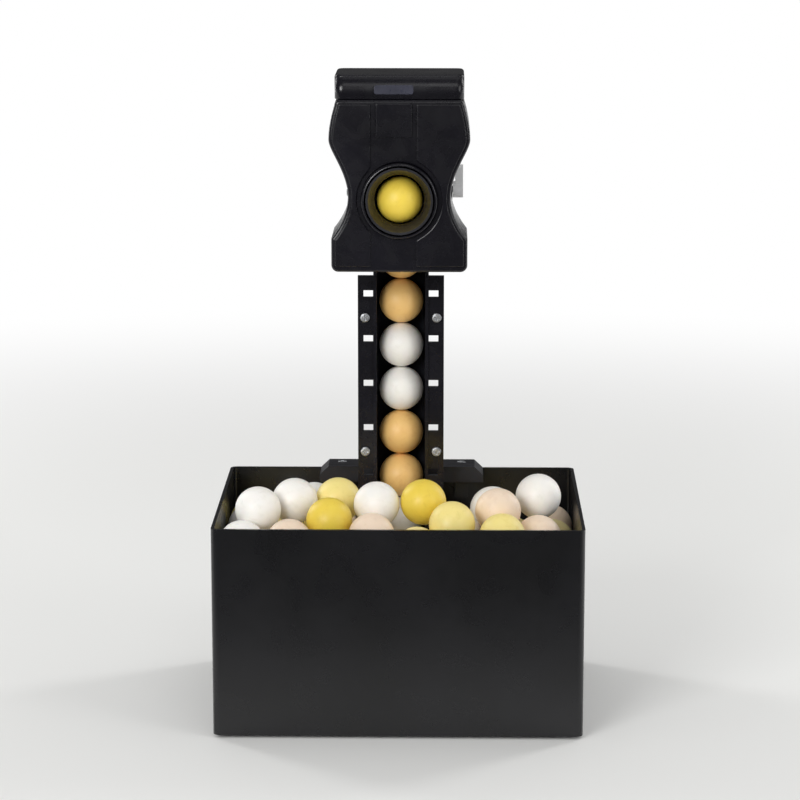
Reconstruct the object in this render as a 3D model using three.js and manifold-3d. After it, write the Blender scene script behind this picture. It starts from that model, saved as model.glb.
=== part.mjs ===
// Table tennis robot: an open ball box, a feed wheel under a sloping floor, a ball column with an
// open front slot, and a two-wheel launching head that sweeps, tilts and turns.
// Millimetres, +Z up, origin on the table under the middle of the box, front towards -Y.

import * as THREE from 'three';
import { mergeVertices } from 'three/addons/utils/BufferGeometryUtils.js';
import Module from 'manifold-3d';

const wasm = await Module();
wasm.setup();

// Balls and fits
const ballDiameter = 40;
const gap = 0.3;
const runningGap = 0.35;
const overrun = 2;
const channelPlay = 1.75;

// Ball box
const boxWidth = 318;
const boxDepth = 240;
const rimHeight = 185;
const boxWall = 3;
const boxCorner = 6;
const footHeight = 3;
const footRadius = 9;
const footInset = 24;
const coverThickness = 3;
const ledgeWidth = 4;
const ledgeHeight = 4;
const cornerPostSize = 12;
const cornerPostHeight = 26;
const cableNotch = 10;

// Sloping floor
const floorThickness = 2.5;
const floorEdgeHeight = 120;
const floorMouthHeight = 88;
const floorMouthClearance = 0.6;

// Feed wheel, race and gearmotor
const feedPitchRadius = 32.5;
const feedTipRadius = 31;
const feedHeight = 68;
const feedWheelWidth = 36;
const pocketPlay = 0.6;
const pocketCount = 4;
const raceWall = 2.7;
const raceSideGap = 4.3;
const pedestalWidth = 44;
const axleRadius = 3;
const feedMotorRadius = 15;
const feedMotorLength = 34;
const feedGearboxLength = 16;
const motorTaper = 1;

// Ball column
const columnInset = 45;
const troughWall = 3;
const troughFront = 25;
const columnTop = 384.7;
const flangeTop = 375.5;
const flangeHalfWidth = 38.5;
const facePlate = 3;
const troughFlange = 2;
const faceLip = 1.5;
const faceFootHeight = 8;
const windowWidth = 8.6;
const windowHeight = 6.4;
const windowEdge = 5;
const windowPitch = 40.75;
const windowCount = 5;
const lowestWindow = 196.4;
const columnScrewHeights = { low: 215.5, high: 338 };
const columnScrewPlace = 32;

// Screws
const screwShank = 1.9;
const screwHead = 4.2;
const screwHeadHeight = 2.4;
const screwRun = 0.3;

// Saddle on the rear rim
const saddleTopHalf = 67;
const saddleLowHalf = 75;
const saddleRise = 7.5;
const saddleDrop = 7;
const saddleReach = 32;
const saddleScrewPlace = 55;
const bossSize = 12;
const bossHeight = 18;

// Turret, sweep drive and yoke
const turretPlateThickness = 4;
const turretPlateRadius = 31.5;
const turretTailHalf = 14;
const gearTeeth = 48;
const pinionTeeth = 10;
const gearModule = 1.25;
const gearThickness = 7;
const toothTip = 1;
const toothRoot = 1.45;
const toothShare = 0.4;
const toothFlank = 0.36;
const gearBacklash = 0.25;
const pinionShaft = 1.5;
const sweepMotorRadius = 8;
const sweepMotorLength = 36;
const ductWall = 2.5;
const elbowRadius = 35;
const elbowOverhang = 4;
const yokeThickness = 3;
const yokeInnerHalf = 42.6;
const yokeFront = 48;
const yokeRear = 102;
const yokeArmRear = 84;
const pivotBossRadius = 7.5;

// Launching line, tilt cradle and spin bearing
const exitHeight = 455;
const headAhead = 75;
const tiltAxisPlace = 38;
const pinRadius = 3;
const pinHead = 6;
const pinHeadHeight = 1.6;
const earThickness = 3;
const earReach = 3;
const cradleThickness = 5;
const cradleRingWidth = 4;
const cradleTabHalf = 9;
const cradleTabReach = 58;
const leverHub = 7.3;
const leverWidth = 9;
const leverInset = 2;
const leverLength = 22;
const leverRootHalf = 5.4;
const leverTipHalf = 4.4;
const spinKnobRadius = 8;
const spinKnobLength = 12;
const knobFlute = 1.8;
const knobFluteCount = 8;

// Launching head casing
const headFront = -40;
const headSplit = -5;
const headRear = 30;
const headWall = 2.5;
const headEdge = 3;
const headBelow = 62;
const headAbove = 86;
const headCorner = 6;
const upperLobeHalf = 60.5;
const lowerLobeHalf = 58.5;
const waistHalf = 44.1;
const headTopHalf = 55.2;
const upperLobeRise = 52;
const lowerLobeDrop = 33;
const waistRise = 3;
const capHeight = 21.5;
const capWall = 3;
const capFrontStep = 2;
const capRearStep = 2;
const capCorner = 7;
const capEdge = 2.5;
const browHalf = 16;
const browLow = 35;
const browProud = 2.2;

// Nozzle, barrel and inlet
const collarRadius = 32.5;
const collarProud = 6;
const collarEdge = 2;
const mouthRadius = 27;
const mouthDepth = 12;
const barrelEnd = 17;
const barrelWall = 2.5;
const spigotRadius = 34;
const spigotFlange = 38;
const spigotFlangeThickness = 2.7;
const spigotNeck = 3.9;
const funnelRadius = 30;
const clipThickness = 1.8;
const clipRadius = 37.6;
const nozzleBallPlace = -21;

// Friction wheels and their motors
const wheelOffset = 39;
const tyreRadius = 19.5;
const tyreHollow = 0.7;
const tyreEdge = 1.5;
const hubRadius = 14;
const hubWidth = 22;
const tyreWidth = 20;
const hubRim = 2;
const hubWeb = 5;
const hubBoss = 5;
const shaftRadius = 1.5;
const wingPlace = 12.3;
const wingThickness = 2.5;
const wingReach = 56;
const wingHalfDepth = 14;
const motorRadius = 12.2;
const motorLength = 31;

// Rear wall sockets, switch and circuit board
const socketHeight = 42;
const powerSocketInset = 41;
const controlSocketInset = 67;
const socketRadius = 8;
const socketBore = 5.5;
const socketLip = 10;
const socketLipThickness = 1.2;
const socketDepth = 14;
const socketFloor = 2;
const contactRadius = 1.2;
const contactLength = 4;
const switchInset = 54;
const switchHalfWidth = 7;
const switchHalfHeight = 10.5;
const switchFrame = 2;
const switchDepth = 14;
const rockerThickness = 4.6;
const rockerBulge = 1.6;
const rockerBackShare = 0.8;
const rockerSink = 4.8;
const rearRecess = 1.5;
const boardHalfWidth = 40;
const boardHalfDepth = 28;
const boardInset = 63;
const boardRearInset = 90;
const boardHeight = 12;
const boardThickness = 1.6;
const boardPost = 3;

// Loose balls in the box: joined balls stand for each heap
const heapPitch = 38.7;
const heapSideGap = 0.6;
const heapColumnGap = 1.1;
const heapRearRoom = 36.4;

// Facets
const roundSides = 28;
const smallSides = 12;
const ballSides = 12;
const ballRings = 8;
const heapSides = 8;
const heapRings = 6;
const wheelSteps = 96;
const hubSides = 20;
const cornerSides = 3;
const casingSides = 5;
const elbowSteps = 12;

// Sizes that follow from those above
const ballRadius = ballDiameter / 2;
const channelRadius = ballRadius + channelPlay;
const troughRadius = channelRadius + troughWall;
const innerHalfWidth = boxWidth / 2 - boxWall;
const innerHalfDepth = boxDepth / 2 - boxWall;
const coverTop = footHeight + coverThickness;
const columnDepthPlace = boxDepth / 2 - columnInset;
const feedPlace = columnDepthPlace - feedPitchRadius;
const raceRadius = feedPitchRadius + channelRadius;
const raceOuter = raceRadius + raceWall;
const raceInnerHalf = feedWheelWidth / 2 + raceSideGap;
const raceOuterHalf = raceInnerHalf + raceWall;
const mouthHalfWidth = raceOuterHalf + floorMouthClearance;
const mouthFront = feedPlace - raceOuter - floorMouthClearance;
const mouthRear = feedPlace + raceOuter + floorMouthClearance + gap;
const columnBottom = floorMouthHeight + floorThickness + screwHead;
const columnFront = columnDepthPlace - troughFront;
const faceBottom = feedHeight + feedTipRadius + gap;
const pinHole = pinRadius + runningGap;
const turretPlateBottom = columnTop + gap;
const gearBottom = turretPlateBottom + turretPlateThickness + gap;
const gearTop = gearBottom + gearThickness;
const gearPitchRadius = gearTeeth * gearModule / 2;
const pinionPitchRadius = pinionTeeth * gearModule / 2;
const pinionDistance = gearPitchRadius + pinionPitchRadius + gearBacklash;
const ductRadius = channelRadius + ductWall;
const yokeBottom = gearTop + gap;
const tiltAxisLocal = tiltAxisPlace - headAhead;
const cradleFront = headRear + gap;
const cradleRear = cradleFront + cradleThickness;
const cradleBore = spigotRadius + runningGap;
const cradleOuter = cradleBore + cradleRingWidth;
const earOuter = yokeInnerHalf - runningGap;
const earInner = earOuter - earThickness;
const yokeOuter = yokeInnerHalf + yokeThickness;
const clipFront = cradleRear + gap;
const spigotRear = clipFront + clipThickness;
const barrelRadius = channelRadius + barrelWall;
const stackPitch = ballDiameter + gap;
const powerSocketPlace = boxWidth / 2 - powerSocketInset;
const controlSocketPlace = boxWidth / 2 - controlSocketInset;
const switchPlace = switchInset - boxWidth / 2;
const boardPlace = boardInset - boxWidth / 2;
const boardDepthPlace = boxDepth / 2 - boardRearInset;

// Materials
function material(color, roughness, metalness = 0) {
  return new THREE.MeshStandardMaterial({ color, roughness, metalness });
}

const casingBlack = material(0x15151a, 0.3);
const boxBlack = material(0x1a1a1d, 0.42);
const trimBlack = material(0x202027, 0.35);
const partGrey = material(0x3a3c42, 0.5);
const rubber = material(0x1c1c1c, 0.9);
const foam = material(0x6a1f18, 0.85);
const nylon = material(0xd9d6cc, 0.55);
const steel = material(0xb9bcc0, 0.32, 0.9);
const motorCan = material(0x9a9ca0, 0.38, 0.85);
const circuit = material(0x1d5a34, 0.6);
const socketBlack = material(0x101012, 0.45);
const leverGrey = material(0xa9abb0, 0.4, 0.6);
const celluloid = {
  yellow: material(0xeed151, 0.45),
  orange: material(0xf0b66c, 0.45),
  white: material(0xfbf8f0, 0.45),
  cream: material(0xf0e2b4, 0.45),
};

// Solid helpers

function toSolid(geometry) {
  const bare = new THREE.BufferGeometry();
  bare.setAttribute('position', geometry.getAttribute('position').clone());
  if (geometry.index) bare.setIndex(geometry.index.clone());
  const merged = mergeVertices(bare);
  const points = merged.getAttribute('position');
  const corners = merged.index.array;
  const kept = [];
  let volume = 0;
  const a = new THREE.Vector3();
  const b = new THREE.Vector3();
  const c = new THREE.Vector3();
  for (let i = 0; i < corners.length; i += 3) {
    const face = [corners[i], corners[i + 1], corners[i + 2]];
    if (new Set(face).size < 3) continue;
    kept.push(...face);
    a.fromBufferAttribute(points, face[0]);
    b.fromBufferAttribute(points, face[1]);
    c.fromBufferAttribute(points, face[2]);
    volume += a.dot(b.cross(c));
  }
  if (volume < 0) kept.reverse();
  return new wasm.Manifold(new wasm.Mesh({
    numProp: 3,
    vertProperties: Float32Array.from(points.array),
    triVerts: Uint32Array.from(kept),
  }));
}

function toGeometry(solid) {
  const mesh = solid.getMesh();
  const geometry = new THREE.BufferGeometry();
  geometry.setAttribute('position', new THREE.BufferAttribute(mesh.vertProperties.slice(), 3));
  geometry.setIndex(new THREE.BufferAttribute(mesh.triVerts.slice(), 1));
  geometry.computeVertexNormals();
  return geometry;
}

function joined(solids) {
  return solids.reduce((whole, next) => whole.add(next));
}

function without(solid, cutters) {
  return cutters.reduce((rest, cutter) => rest.subtract(cutter), solid);
}

function block(xs, ys, zs) {
  const geometry = new THREE.BoxGeometry(xs[1] - xs[0], ys[1] - ys[0], zs[1] - zs[0]);
  geometry.translate((xs[0] + xs[1]) / 2, (ys[0] + ys[1]) / 2, (zs[0] + zs[1]) / 2);
  return toSolid(geometry);
}

// Turns a geometry made about the Y axis so that it lies about the named axis
function turnFromY(geometry, axis) {
  if (axis === 'x') geometry.rotateZ(-Math.PI / 2);
  if (axis === 'z') geometry.rotateX(Math.PI / 2);
  return geometry;
}

function rod(radius, along, axis, sides = roundSides) {
  const geometry = new THREE.CylinderGeometry(radius, radius, along[1] - along[0], sides);
  geometry.translate(0, (along[0] + along[1]) / 2, 0);
  return toSolid(turnFromY(geometry, axis));
}

// A closed profile of [radius, place] pairs turned about the named axis
function turned(profile, axis, sides = roundSides) {
  const points = profile.map(([radius, place]) => new THREE.Vector2(radius, place));
  const geometry = new THREE.LatheGeometry([...points, points[0].clone()], sides);
  return toSolid(turnFromY(geometry, axis));
}

function ring(inner, outer, along, axis, sides = roundSides) {
  return turned([[inner, along[0]], [outer, along[0]], [outer, along[1]], [inner, along[1]]], axis, sides);
}

// Extrudes a shape: drawn in x and y and raised along z, drawn in x and z and run along y,
// or drawn in y and z and run along x
function extruded(shape, along, axis, options = {}) {
  const depth = along[1] - along[0];
  const settings = { depth, bevelEnabled: false, curveSegments: cornerSides, ...options };
  const geometry = new THREE.ExtrudeGeometry(shape, settings);
  if (axis === 'z') geometry.translate(0, 0, along[0]);
  if (axis === 'y') geometry.rotateX(Math.PI / 2).translate(0, along[1], 0);
  if (axis === 'x') {
    const cycle = new THREE.Matrix4().makeBasis(
      new THREE.Vector3(0, 1, 0), new THREE.Vector3(0, 0, 1), new THREE.Vector3(1, 0, 0));
    geometry.applyMatrix4(cycle).translate(along[0], 0, 0);
  }
  return toSolid(geometry);
}

function roundedRectangle(halfX, halfY, radius) {
  const shape = new THREE.Shape();
  shape.absarc(halfX - radius, halfY - radius, radius, 0, Math.PI / 2);
  shape.absarc(radius - halfX, halfY - radius, radius, Math.PI / 2, Math.PI);
  shape.absarc(radius - halfX, radius - halfY, radius, Math.PI, Math.PI * 1.5);
  shape.absarc(halfX - radius, radius - halfY, radius, Math.PI * 1.5, Math.PI * 2);
  return shape;
}

function shapeOf(points) {
  return new THREE.Shape(points.map(([u, v]) => new THREE.Vector2(u, v)));
}

// Scene graph: fixed base, column line, sweeping turret and launching head

const robot = new THREE.Group();
const column = new THREE.Group();
const feed = new THREE.Group();
const head = new THREE.Group();
column.position.set(0, columnDepthPlace, 0);
feed.position.set(0, feedPlace, feedHeight);
head.position.set(0, columnDepthPlace - headAhead, exitHeight);
robot.add(column, feed, head);

function place(group, name, solid, surface, position = [0, 0, 0]) {
  const mesh = new THREE.Mesh(toGeometry(solid), surface);
  mesh.name = name;
  mesh.position.set(...position);
  group.add(mesh);
}

// Ball box

const boxInner = roundedRectangle(innerHalfWidth, innerHalfDepth, boxCorner - boxWall);
const rearFace = boxDepth / 2;
const rearInner = innerHalfDepth;

function ledge() {
  const top = floorEdgeHeight - floorThickness - gap;
  const outer = roundedRectangle(
    innerHalfWidth + boxWall / 2, innerHalfDepth + boxWall / 2, boxCorner - boxWall / 2);
  const hole = roundedRectangle(innerHalfWidth - ledgeWidth, innerHalfDepth - ledgeWidth, boxWall);
  const bottom = top - ledgeHeight;
  const band = extruded(outer, [bottom, top], 'z')
    .subtract(extruded(hole, [bottom - overrun, top + overrun], 'z'));
  return band.subtract(funnel(floorEdgeHeight - floorMouthHeight, -floorThickness - gap));
}

function cornerPost(sideX, sideY) {
  const x = sideX * (innerHalfWidth - cornerPostSize / 2 + boxWall / 2);
  const y = sideY * (innerHalfDepth - cornerPostSize / 2 + boxWall / 2);
  const half = cornerPostSize / 2;
  const bottom = coverTop + gap;
  return block([x - half, x + half], [y - half, y + half], [bottom, bottom + cornerPostHeight]);
}

function saddleBoss(side) {
  const x = side * saddleScrewPlace;
  const top = rimHeight - saddleDrop - gap;
  const boss = block([x - bossSize / 2, x + bossSize / 2],
    [rearInner - bossSize - gap, rearInner + boxWall / 2], [top - bossHeight, top]);
  return boss.subtract(saddleScrewHole(side, [top - bossHeight / 2, top + overrun]));
}

function saddleScrewHole(side, along) {
  const hole = rod(screwShank + gap, along, 'z', smallSides);
  return hole.translate([side * saddleScrewPlace, saddleScrewDepthPlace, 0]);
}

const saddleScrewDepthPlace = rearInner - bossSize / 2 - gap;

function socketCut(x) {
  const through = rod(socketRadius + gap, [rearInner - overrun, rearFace + overrun], 'y');
  const recess = rod(socketLip + gap, [rearFace - rearRecess, rearFace + overrun], 'y');
  return joined([through, recess]).translate([x, 0, socketHeight]);
}

function switchCut() {
  const frameHalfX = switchHalfWidth + switchFrame + gap;
  const frameHalfZ = switchHalfHeight + switchFrame + gap;
  return block([switchPlace - frameHalfX, switchPlace + frameHalfX],
    [rearInner - overrun, rearFace + overrun], [socketHeight - frameHalfZ, socketHeight + frameHalfZ]);
}

function ballBox() {
  const outer = roundedRectangle(boxWidth / 2, boxDepth / 2, boxCorner);
  const shell = extruded(outer, [footHeight, rimHeight], 'z')
    .subtract(extruded(boxInner, [footHeight - overrun, rimHeight + overrun], 'z'));
  const posts = [];
  for (const sideX of [-1, 1]) {
    for (const sideY of [-1, 1]) posts.push(cornerPost(sideX, sideY));
  }
  const body = joined([shell, ledge(), ...posts, saddleBoss(-1), saddleBoss(1)]);
  return without(body, [socketCut(powerSocketPlace), socketCut(controlSocketPlace), switchCut()]);
}

place(robot, 'ball_box', ballBox(), boxBlack);

function bottomCover() {
  const outline = roundedRectangle(innerHalfWidth - gap, innerHalfDepth - gap, boxWall);
  const plate = extruded(outline, [footHeight, coverTop], 'z');
  const notch = rod(cableNotch / 2, [footHeight - overrun, coverTop + overrun], 'z', smallSides)
    .translate([boardPlace, boardDepthPlace - boardHalfDepth - cableNotch, 0]);
  const posts = [];
  for (const sideX of [-1, 1]) {
    for (const sideY of [-1, 1]) {
      const post = rod(boardPost, [footHeight + coverThickness / 2, boardHeight - gap], 'z', smallSides);
      const x = boardPlace + sideX * (boardHalfWidth - 2 * boardPost);
      const y = boardDepthPlace + sideY * (boardHalfDepth - 2 * boardPost);
      posts.push(post.translate([x, y, 0]));
    }
  }
  return joined([plate, ...posts]).subtract(notch);
}

place(robot, 'bottom_cover', bottomCover(), partGrey);

let footNumber = 0;
for (const sideY of [-1, 1]) {
  for (const sideX of [-1, 1]) {
    footNumber += 1;
    const foot = rod(footRadius, [0, footHeight - gap], 'z', roundSides / 2);
    place(robot, `foot_${footNumber}`, foot, rubber,
      [sideX * (boxWidth / 2 - footInset), sideY * (boxDepth / 2 - footInset), 0]);
  }
}

// Sloping floor: four planes that fall from the ledge to the mouth over the feed wheel. The
// funnel's top and bottom lie the given rises above the floor's upper surface.

function funnel(topRise, bottomRise) {
  const outerX = innerHalfWidth - gap;
  const outerY = innerHalfDepth - gap;
  const corners = [];
  for (const rise of [topRise, bottomRise]) {
    const high = floorEdgeHeight + rise;
    const low = floorMouthHeight + rise;
    corners.push([-outerX, -outerY, high], [outerX, -outerY, high]);
    corners.push([outerX, outerY, high], [-outerX, outerY, high]);
    corners.push([-mouthHalfWidth, mouthFront, low], [mouthHalfWidth, mouthFront, low]);
    corners.push([mouthHalfWidth, mouthRear, low], [-mouthHalfWidth, mouthRear, low]);
  }
  const faces = [];
  for (let side = 0; side < 4; side += 1) {
    const next = (side + 1) % 4;
    faces.push([side, next, 4 + next, 4 + side]);
    faces.push([8 + side, 12 + side, 12 + next, 8 + next]);
    faces.push([side, 8 + side, 8 + next, next]);
    faces.push([4 + side, 4 + next, 12 + next, 12 + side]);
  }
  const geometry = new THREE.BufferGeometry();
  geometry.setAttribute('position', new THREE.Float32BufferAttribute(corners.flat(), 3));
  geometry.setIndex(faces.flatMap(([a, b, c, d]) => [a, b, c, a, c, d]));
  return toSolid(geometry);
}

function hopperFloor() {
  const outline = roundedRectangle(innerHalfWidth - gap, innerHalfDepth - gap, boxWall);
  const well = extruded(outline, [floorMouthHeight - 2 * floorThickness, rimHeight], 'z');
  return funnel(0, -floorThickness).intersect(well);
}

place(robot, 'hopper_floor', hopperFloor(), boxBlack);

// Feed wheel, axle, race and gearmotor, drawn about the wheel's axis

function feedWheel() {
  const shape = new THREE.Shape();
  const restTurn = Math.atan2(stackLowest - feedHeight, columnDepthPlace - feedPlace);
  const step = 2 * Math.PI / pocketCount;
  const pocketRadius = ballRadius + pocketPlay;
  const points = [];
  for (let i = 0; i < wheelSteps; i += 1) {
    const angle = 2 * Math.PI * i / wheelSteps;
    const offset = Math.abs(((angle / step) % 1) - 0.5) * step;
    const across = feedPitchRadius * Math.sin(offset);
    const chord = pocketRadius > across ? Math.sqrt(pocketRadius ** 2 - across ** 2) : 0;
    const scallop = chord > 0 ? feedPitchRadius * Math.cos(offset) - chord : feedTipRadius;
    const radius = Math.min(feedTipRadius, scallop);
    points.push(new THREE.Vector2(radius * Math.cos(angle + restTurn), radius * Math.sin(angle + restTurn)));
  }
  shape.setFromPoints(points);
  const half = feedWheelWidth / 2;
  const wheel = extruded(shape, [-half, half], 'x');
  return wheel.subtract(rod(axleRadius + gap, [-half - overrun, half + overrun], 'x', smallSides));
}

function feedRace() {
  const span = [-raceOuterHalf, raceOuterHalf];
  const cavitySpan = [-raceInnerHalf, raceInnerHalf];
  const rearTop = columnBottom - gap - feedHeight;
  const frontTop = floorMouthHeight - gap - feedHeight;
  const lowerHalf = rod(raceOuter, span, 'x')
    .subtract(block([span[0] - overrun, span[1] + overrun], [-2 * raceOuter, 2 * raceOuter],
      [raceWall / 2, 2 * raceOuter]));
  const upper = block(span, [-raceOuter, raceOuter], [0, rearTop]);
  const pedestal = block([-pedestalWidth / 2, pedestalWidth / 2], [-raceOuter / 2, raceOuter / 2],
    [coverTop + gap - feedHeight, -raceRadius]);
  const hollow = rod(raceRadius, cavitySpan, 'x');
  const shaft = block(cavitySpan, [-raceRadius, raceRadius], [0, rearTop + overrun]);
  const frontCut = block([span[0] - overrun, span[1] + overrun],
    [-raceOuter - overrun, columnFront - feedPlace], [frontTop, rearTop + overrun]);
  const axleHole = rod(axleRadius + runningGap, [span[0] - overrun, span[1] + overrun], 'x', smallSides);
  return without(joined([lowerHalf, upper, pedestal]), [hollow, shaft, frontCut, axleHole]);
}

const stackLowest = feedHeight + Math.sqrt(
  (feedTipRadius + ballRadius + gap) ** 2 - feedPitchRadius ** 2);

place(feed, 'feed_wheel', feedWheel(), nylon);
place(feed, 'feed_axle', rod(axleRadius, [-raceOuterHalf - gap, raceOuterHalf], 'x', smallSides), steel);
place(feed, 'feed_race', feedRace(), partGrey);

// A round gearbox with a slightly narrower motor behind it. Negative lengths run it the other way.
function gearmotor(radius, gearboxLength, length, start, axis) {
  const end = start + gearboxLength;
  return turned([
    [0, start], [radius, start], [radius, end], [radius - motorTaper, end + motorTaper],
    [radius - motorTaper, start + length - motorTaper], [radius - 2 * motorTaper, start + length],
    [0, start + length],
  ], axis, roundSides / 2);
}

const feedDriveLength = feedGearboxLength + feedMotorLength;
place(feed, 'feed_gearmotor',
  gearmotor(feedMotorRadius, feedGearboxLength, feedDriveLength, raceOuterHalf + gap, 'x'), motorCan);

// Ball column, drawn about the ball line

function troughShape() {
  const shape = new THREE.Shape();
  const front = -troughFront + facePlate + gap;
  shape.moveTo(-troughRadius, front);
  shape.lineTo(-troughRadius, 0);
  shape.absarc(0, 0, troughRadius, Math.PI, 0, true);
  shape.lineTo(troughRadius, front);
  shape.lineTo(channelRadius, front);
  shape.lineTo(channelRadius, 0);
  shape.absarc(0, 0, channelRadius, 0, Math.PI, false);
  shape.lineTo(-channelRadius, front);
  return shape;
}

// The windows and screw holes go through the face plate and the trough's flanges alike
function edgeCuts() {
  const run = [-troughFront - overrun, -troughFront + facePlate + gap + troughFlange + overrun];
  const cuts = [];
  for (const side of [-1, 1]) {
    const outer = side * (flangeHalfWidth - windowEdge);
    const inner = outer - side * windowWidth;
    const across = [Math.min(inner, outer), Math.max(inner, outer)];
    for (let k = 0; k < windowCount; k += 1) {
      const middle = lowestWindow + k * windowPitch;
      cuts.push(block(across, run, [middle - windowHeight / 2, middle + windowHeight / 2]));
    }
    for (const height of Object.values(columnScrewHeights)) {
      cuts.push(rod(screwShank + gap, run, 'y', smallSides).translate([side * columnScrewPlace, 0, height]));
    }
  }
  return cuts;
}

function columnTrough() {
  const front = -troughFront + facePlate + gap;
  const wall = extruded(troughShape(), [columnBottom, columnTop], 'z', { curveSegments: roundSides / 4 });
  const flanges = [];
  for (const side of [-1, 1]) {
    const reach = [side * (channelRadius + troughWall / 2), side * flangeHalfWidth];
    flanges.push(block([Math.min(...reach), Math.max(...reach)], [front, front + troughFlange],
      [columnBottom, flangeTop]));
  }
  return without(joined([wall, ...flanges]), edgeCuts());
}

function columnFace() {
  const plate = block([-flangeHalfWidth, flangeHalfWidth], [-troughFront, -troughFront + facePlate],
    [faceBottom, flangeTop]);
  const lips = block([-troughRadius, troughRadius], [-troughFront - faceLip, -troughFront + facePlate / 2],
    [faceBottom, flangeTop]);
  const slotDepth = [-troughFront - 2 * overrun, -troughFront + 2 * facePlate];
  const slot = block([-channelRadius, channelRadius], slotDepth,
    [faceBottom + faceFootHeight, flangeTop + overrun]);
  return without(joined([plate, lips]), [slot, ...edgeCuts()]);
}

place(column, 'column_trough', columnTrough(), trimBlack);
place(column, 'column_face', columnFace(), casingBlack);

// A pan-head screw about the named axis: its head begins at the seat and its shank runs to the depth
function screw(seat, depth, out, axis) {
  const top = seat + out * screwHeadHeight;
  const crown = seat + out * screwHeadHeight / 2;
  return turned([
    [0, depth], [screwShank, depth], [screwShank, seat], [screwHead, seat],
    [screwHead, crown], [screwHead - screwHeadHeight / 2, top], [0, top],
  ], axis, smallSides);
}

let columnScrewNumber = 0;
for (const height of Object.values(columnScrewHeights)) {
  for (const side of [-1, 1]) {
    columnScrewNumber += 1;
    const seat = -troughFront - screwRun;
    const depth = -troughFront + facePlate + gap + troughFlange;
    place(column, `column_screw_${columnScrewNumber}`, screw(seat, depth, -1, 'y'), steel,
      [side * columnScrewPlace, 0, height]);
  }
}

// Saddle: sits on two bosses inside the rear wall, laps the rim and holds the column's back

const saddleTop = rimHeight + saddleRise;
const saddleBottom = rimHeight - saddleDrop;

function rimSaddle() {
  const profile = shapeOf([
    [-saddleLowHalf, saddleBottom], [saddleLowHalf, saddleBottom], [saddleLowHalf, rimHeight],
    [saddleTopHalf, saddleTop], [-saddleTopHalf, saddleTop], [-saddleLowHalf, rimHeight],
  ]);
  const bar = extruded(profile, [rearFace - saddleReach, rearFace], 'y');
  const wallRoom = block([-2 * saddleLowHalf, 2 * saddleLowHalf], [rearInner - gap, rearFace + overrun],
    [saddleBottom - overrun, rimHeight + gap]);
  const columnRoom = rod(troughRadius + gap, [saddleBottom - overrun, saddleTop + overrun], 'z')
    .translate([0, columnDepthPlace, 0]);
  const cuts = [wallRoom, columnRoom];
  for (const side of [-1, 1]) {
    cuts.push(saddleScrewHole(side, [saddleBottom - overrun, saddleTop + overrun]));
    cuts.push(rod(screwHead + gap, [saddleTop - screwHeadHeight, saddleTop + overrun], 'z', smallSides)
      .translate([side * saddleScrewPlace, saddleScrewDepthPlace, 0]));
  }
  return without(bar, cuts);
}

place(robot, 'rim_saddle', rimSaddle(), trimBlack);
for (const side of [-1, 1]) {
  const seat = saddleTop - screwHeadHeight + screwRun;
  place(robot, side < 0 ? 'saddle_screw_left' : 'saddle_screw_right',
    screw(seat, saddleBottom - bossHeight / 4, 1, 'z'), steel,
    [side * saddleScrewPlace, saddleScrewDepthPlace, 0]);
}

// Turret plate, sweep gearmotor, pinion and gear

function turretPlate() {
  const span = [turretPlateBottom, turretPlateBottom + turretPlateThickness];
  const disc = rod(turretPlateRadius, span, 'z');
  const tail = block([-turretTailHalf, turretTailHalf], [0, pinionDistance + sweepMotorRadius], span);
  const cutSpan = [span[0] - overrun, span[1] + overrun];
  const bore = rod(channelRadius, cutSpan, 'z');
  const shaftHole = rod(pinionShaft + runningGap, cutSpan, 'z', smallSides)
    .translate([0, pinionDistance, 0]);
  return without(joined([disc, tail]), [bore, shaftHole]);
}

function gearOutline(teeth, pitchRadius, firstTooth) {
  const step = 2 * Math.PI / teeth;
  const root = pitchRadius - toothRoot;
  const tip = pitchRadius + toothTip;
  const halfThickness = toothShare * step * pitchRadius / 2;
  const points = [];
  for (let k = 0; k < teeth; k += 1) {
    const middle = firstTooth + k * step;
    const rootHalf = (halfThickness + toothFlank * toothRoot) / root;
    const tipHalf = (halfThickness - toothFlank * toothTip) / tip;
    for (const [radius, angle] of [[root, -rootHalf], [tip, -tipHalf], [tip, tipHalf], [root, rootHalf]]) {
      points.push(new THREE.Vector2(radius * Math.cos(middle + angle), radius * Math.sin(middle + angle)));
    }
  }
  return new THREE.Shape(points);
}

function turretGear() {
  const gear = extruded(gearOutline(gearTeeth, gearPitchRadius, Math.PI / 2), [gearBottom, gearTop], 'z');
  return gear.subtract(rod(channelRadius, [gearBottom - overrun, gearTop + overrun], 'z'));
}

function sweepPinion() {
  const firstTooth = -Math.PI / 2 + Math.PI / pinionTeeth;
  const outline = gearOutline(pinionTeeth, pinionPitchRadius, firstTooth);
  const wheel = extruded(outline, [gearBottom, gearTop], 'z');
  return wheel.add(rod(pinionShaft, [turretPlateBottom, gearBottom + gearThickness / 2], 'z', smallSides));
}

place(column, 'turret_plate', turretPlate(), partGrey);
place(column, 'sweep_gearmotor',
  gearmotor(sweepMotorRadius, -sweepMotorLength / 2, -sweepMotorLength, columnTop, 'z'),
  motorCan, [0, pinionDistance, 0]);
place(column, 'turret_gear', turretGear(), nylon);
place(column, 'sweep_pinion', sweepPinion(), steel, [0, pinionDistance, 0]);

// Bent duct: straight up from the gear, a quarter turn, then forward to the head

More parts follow.
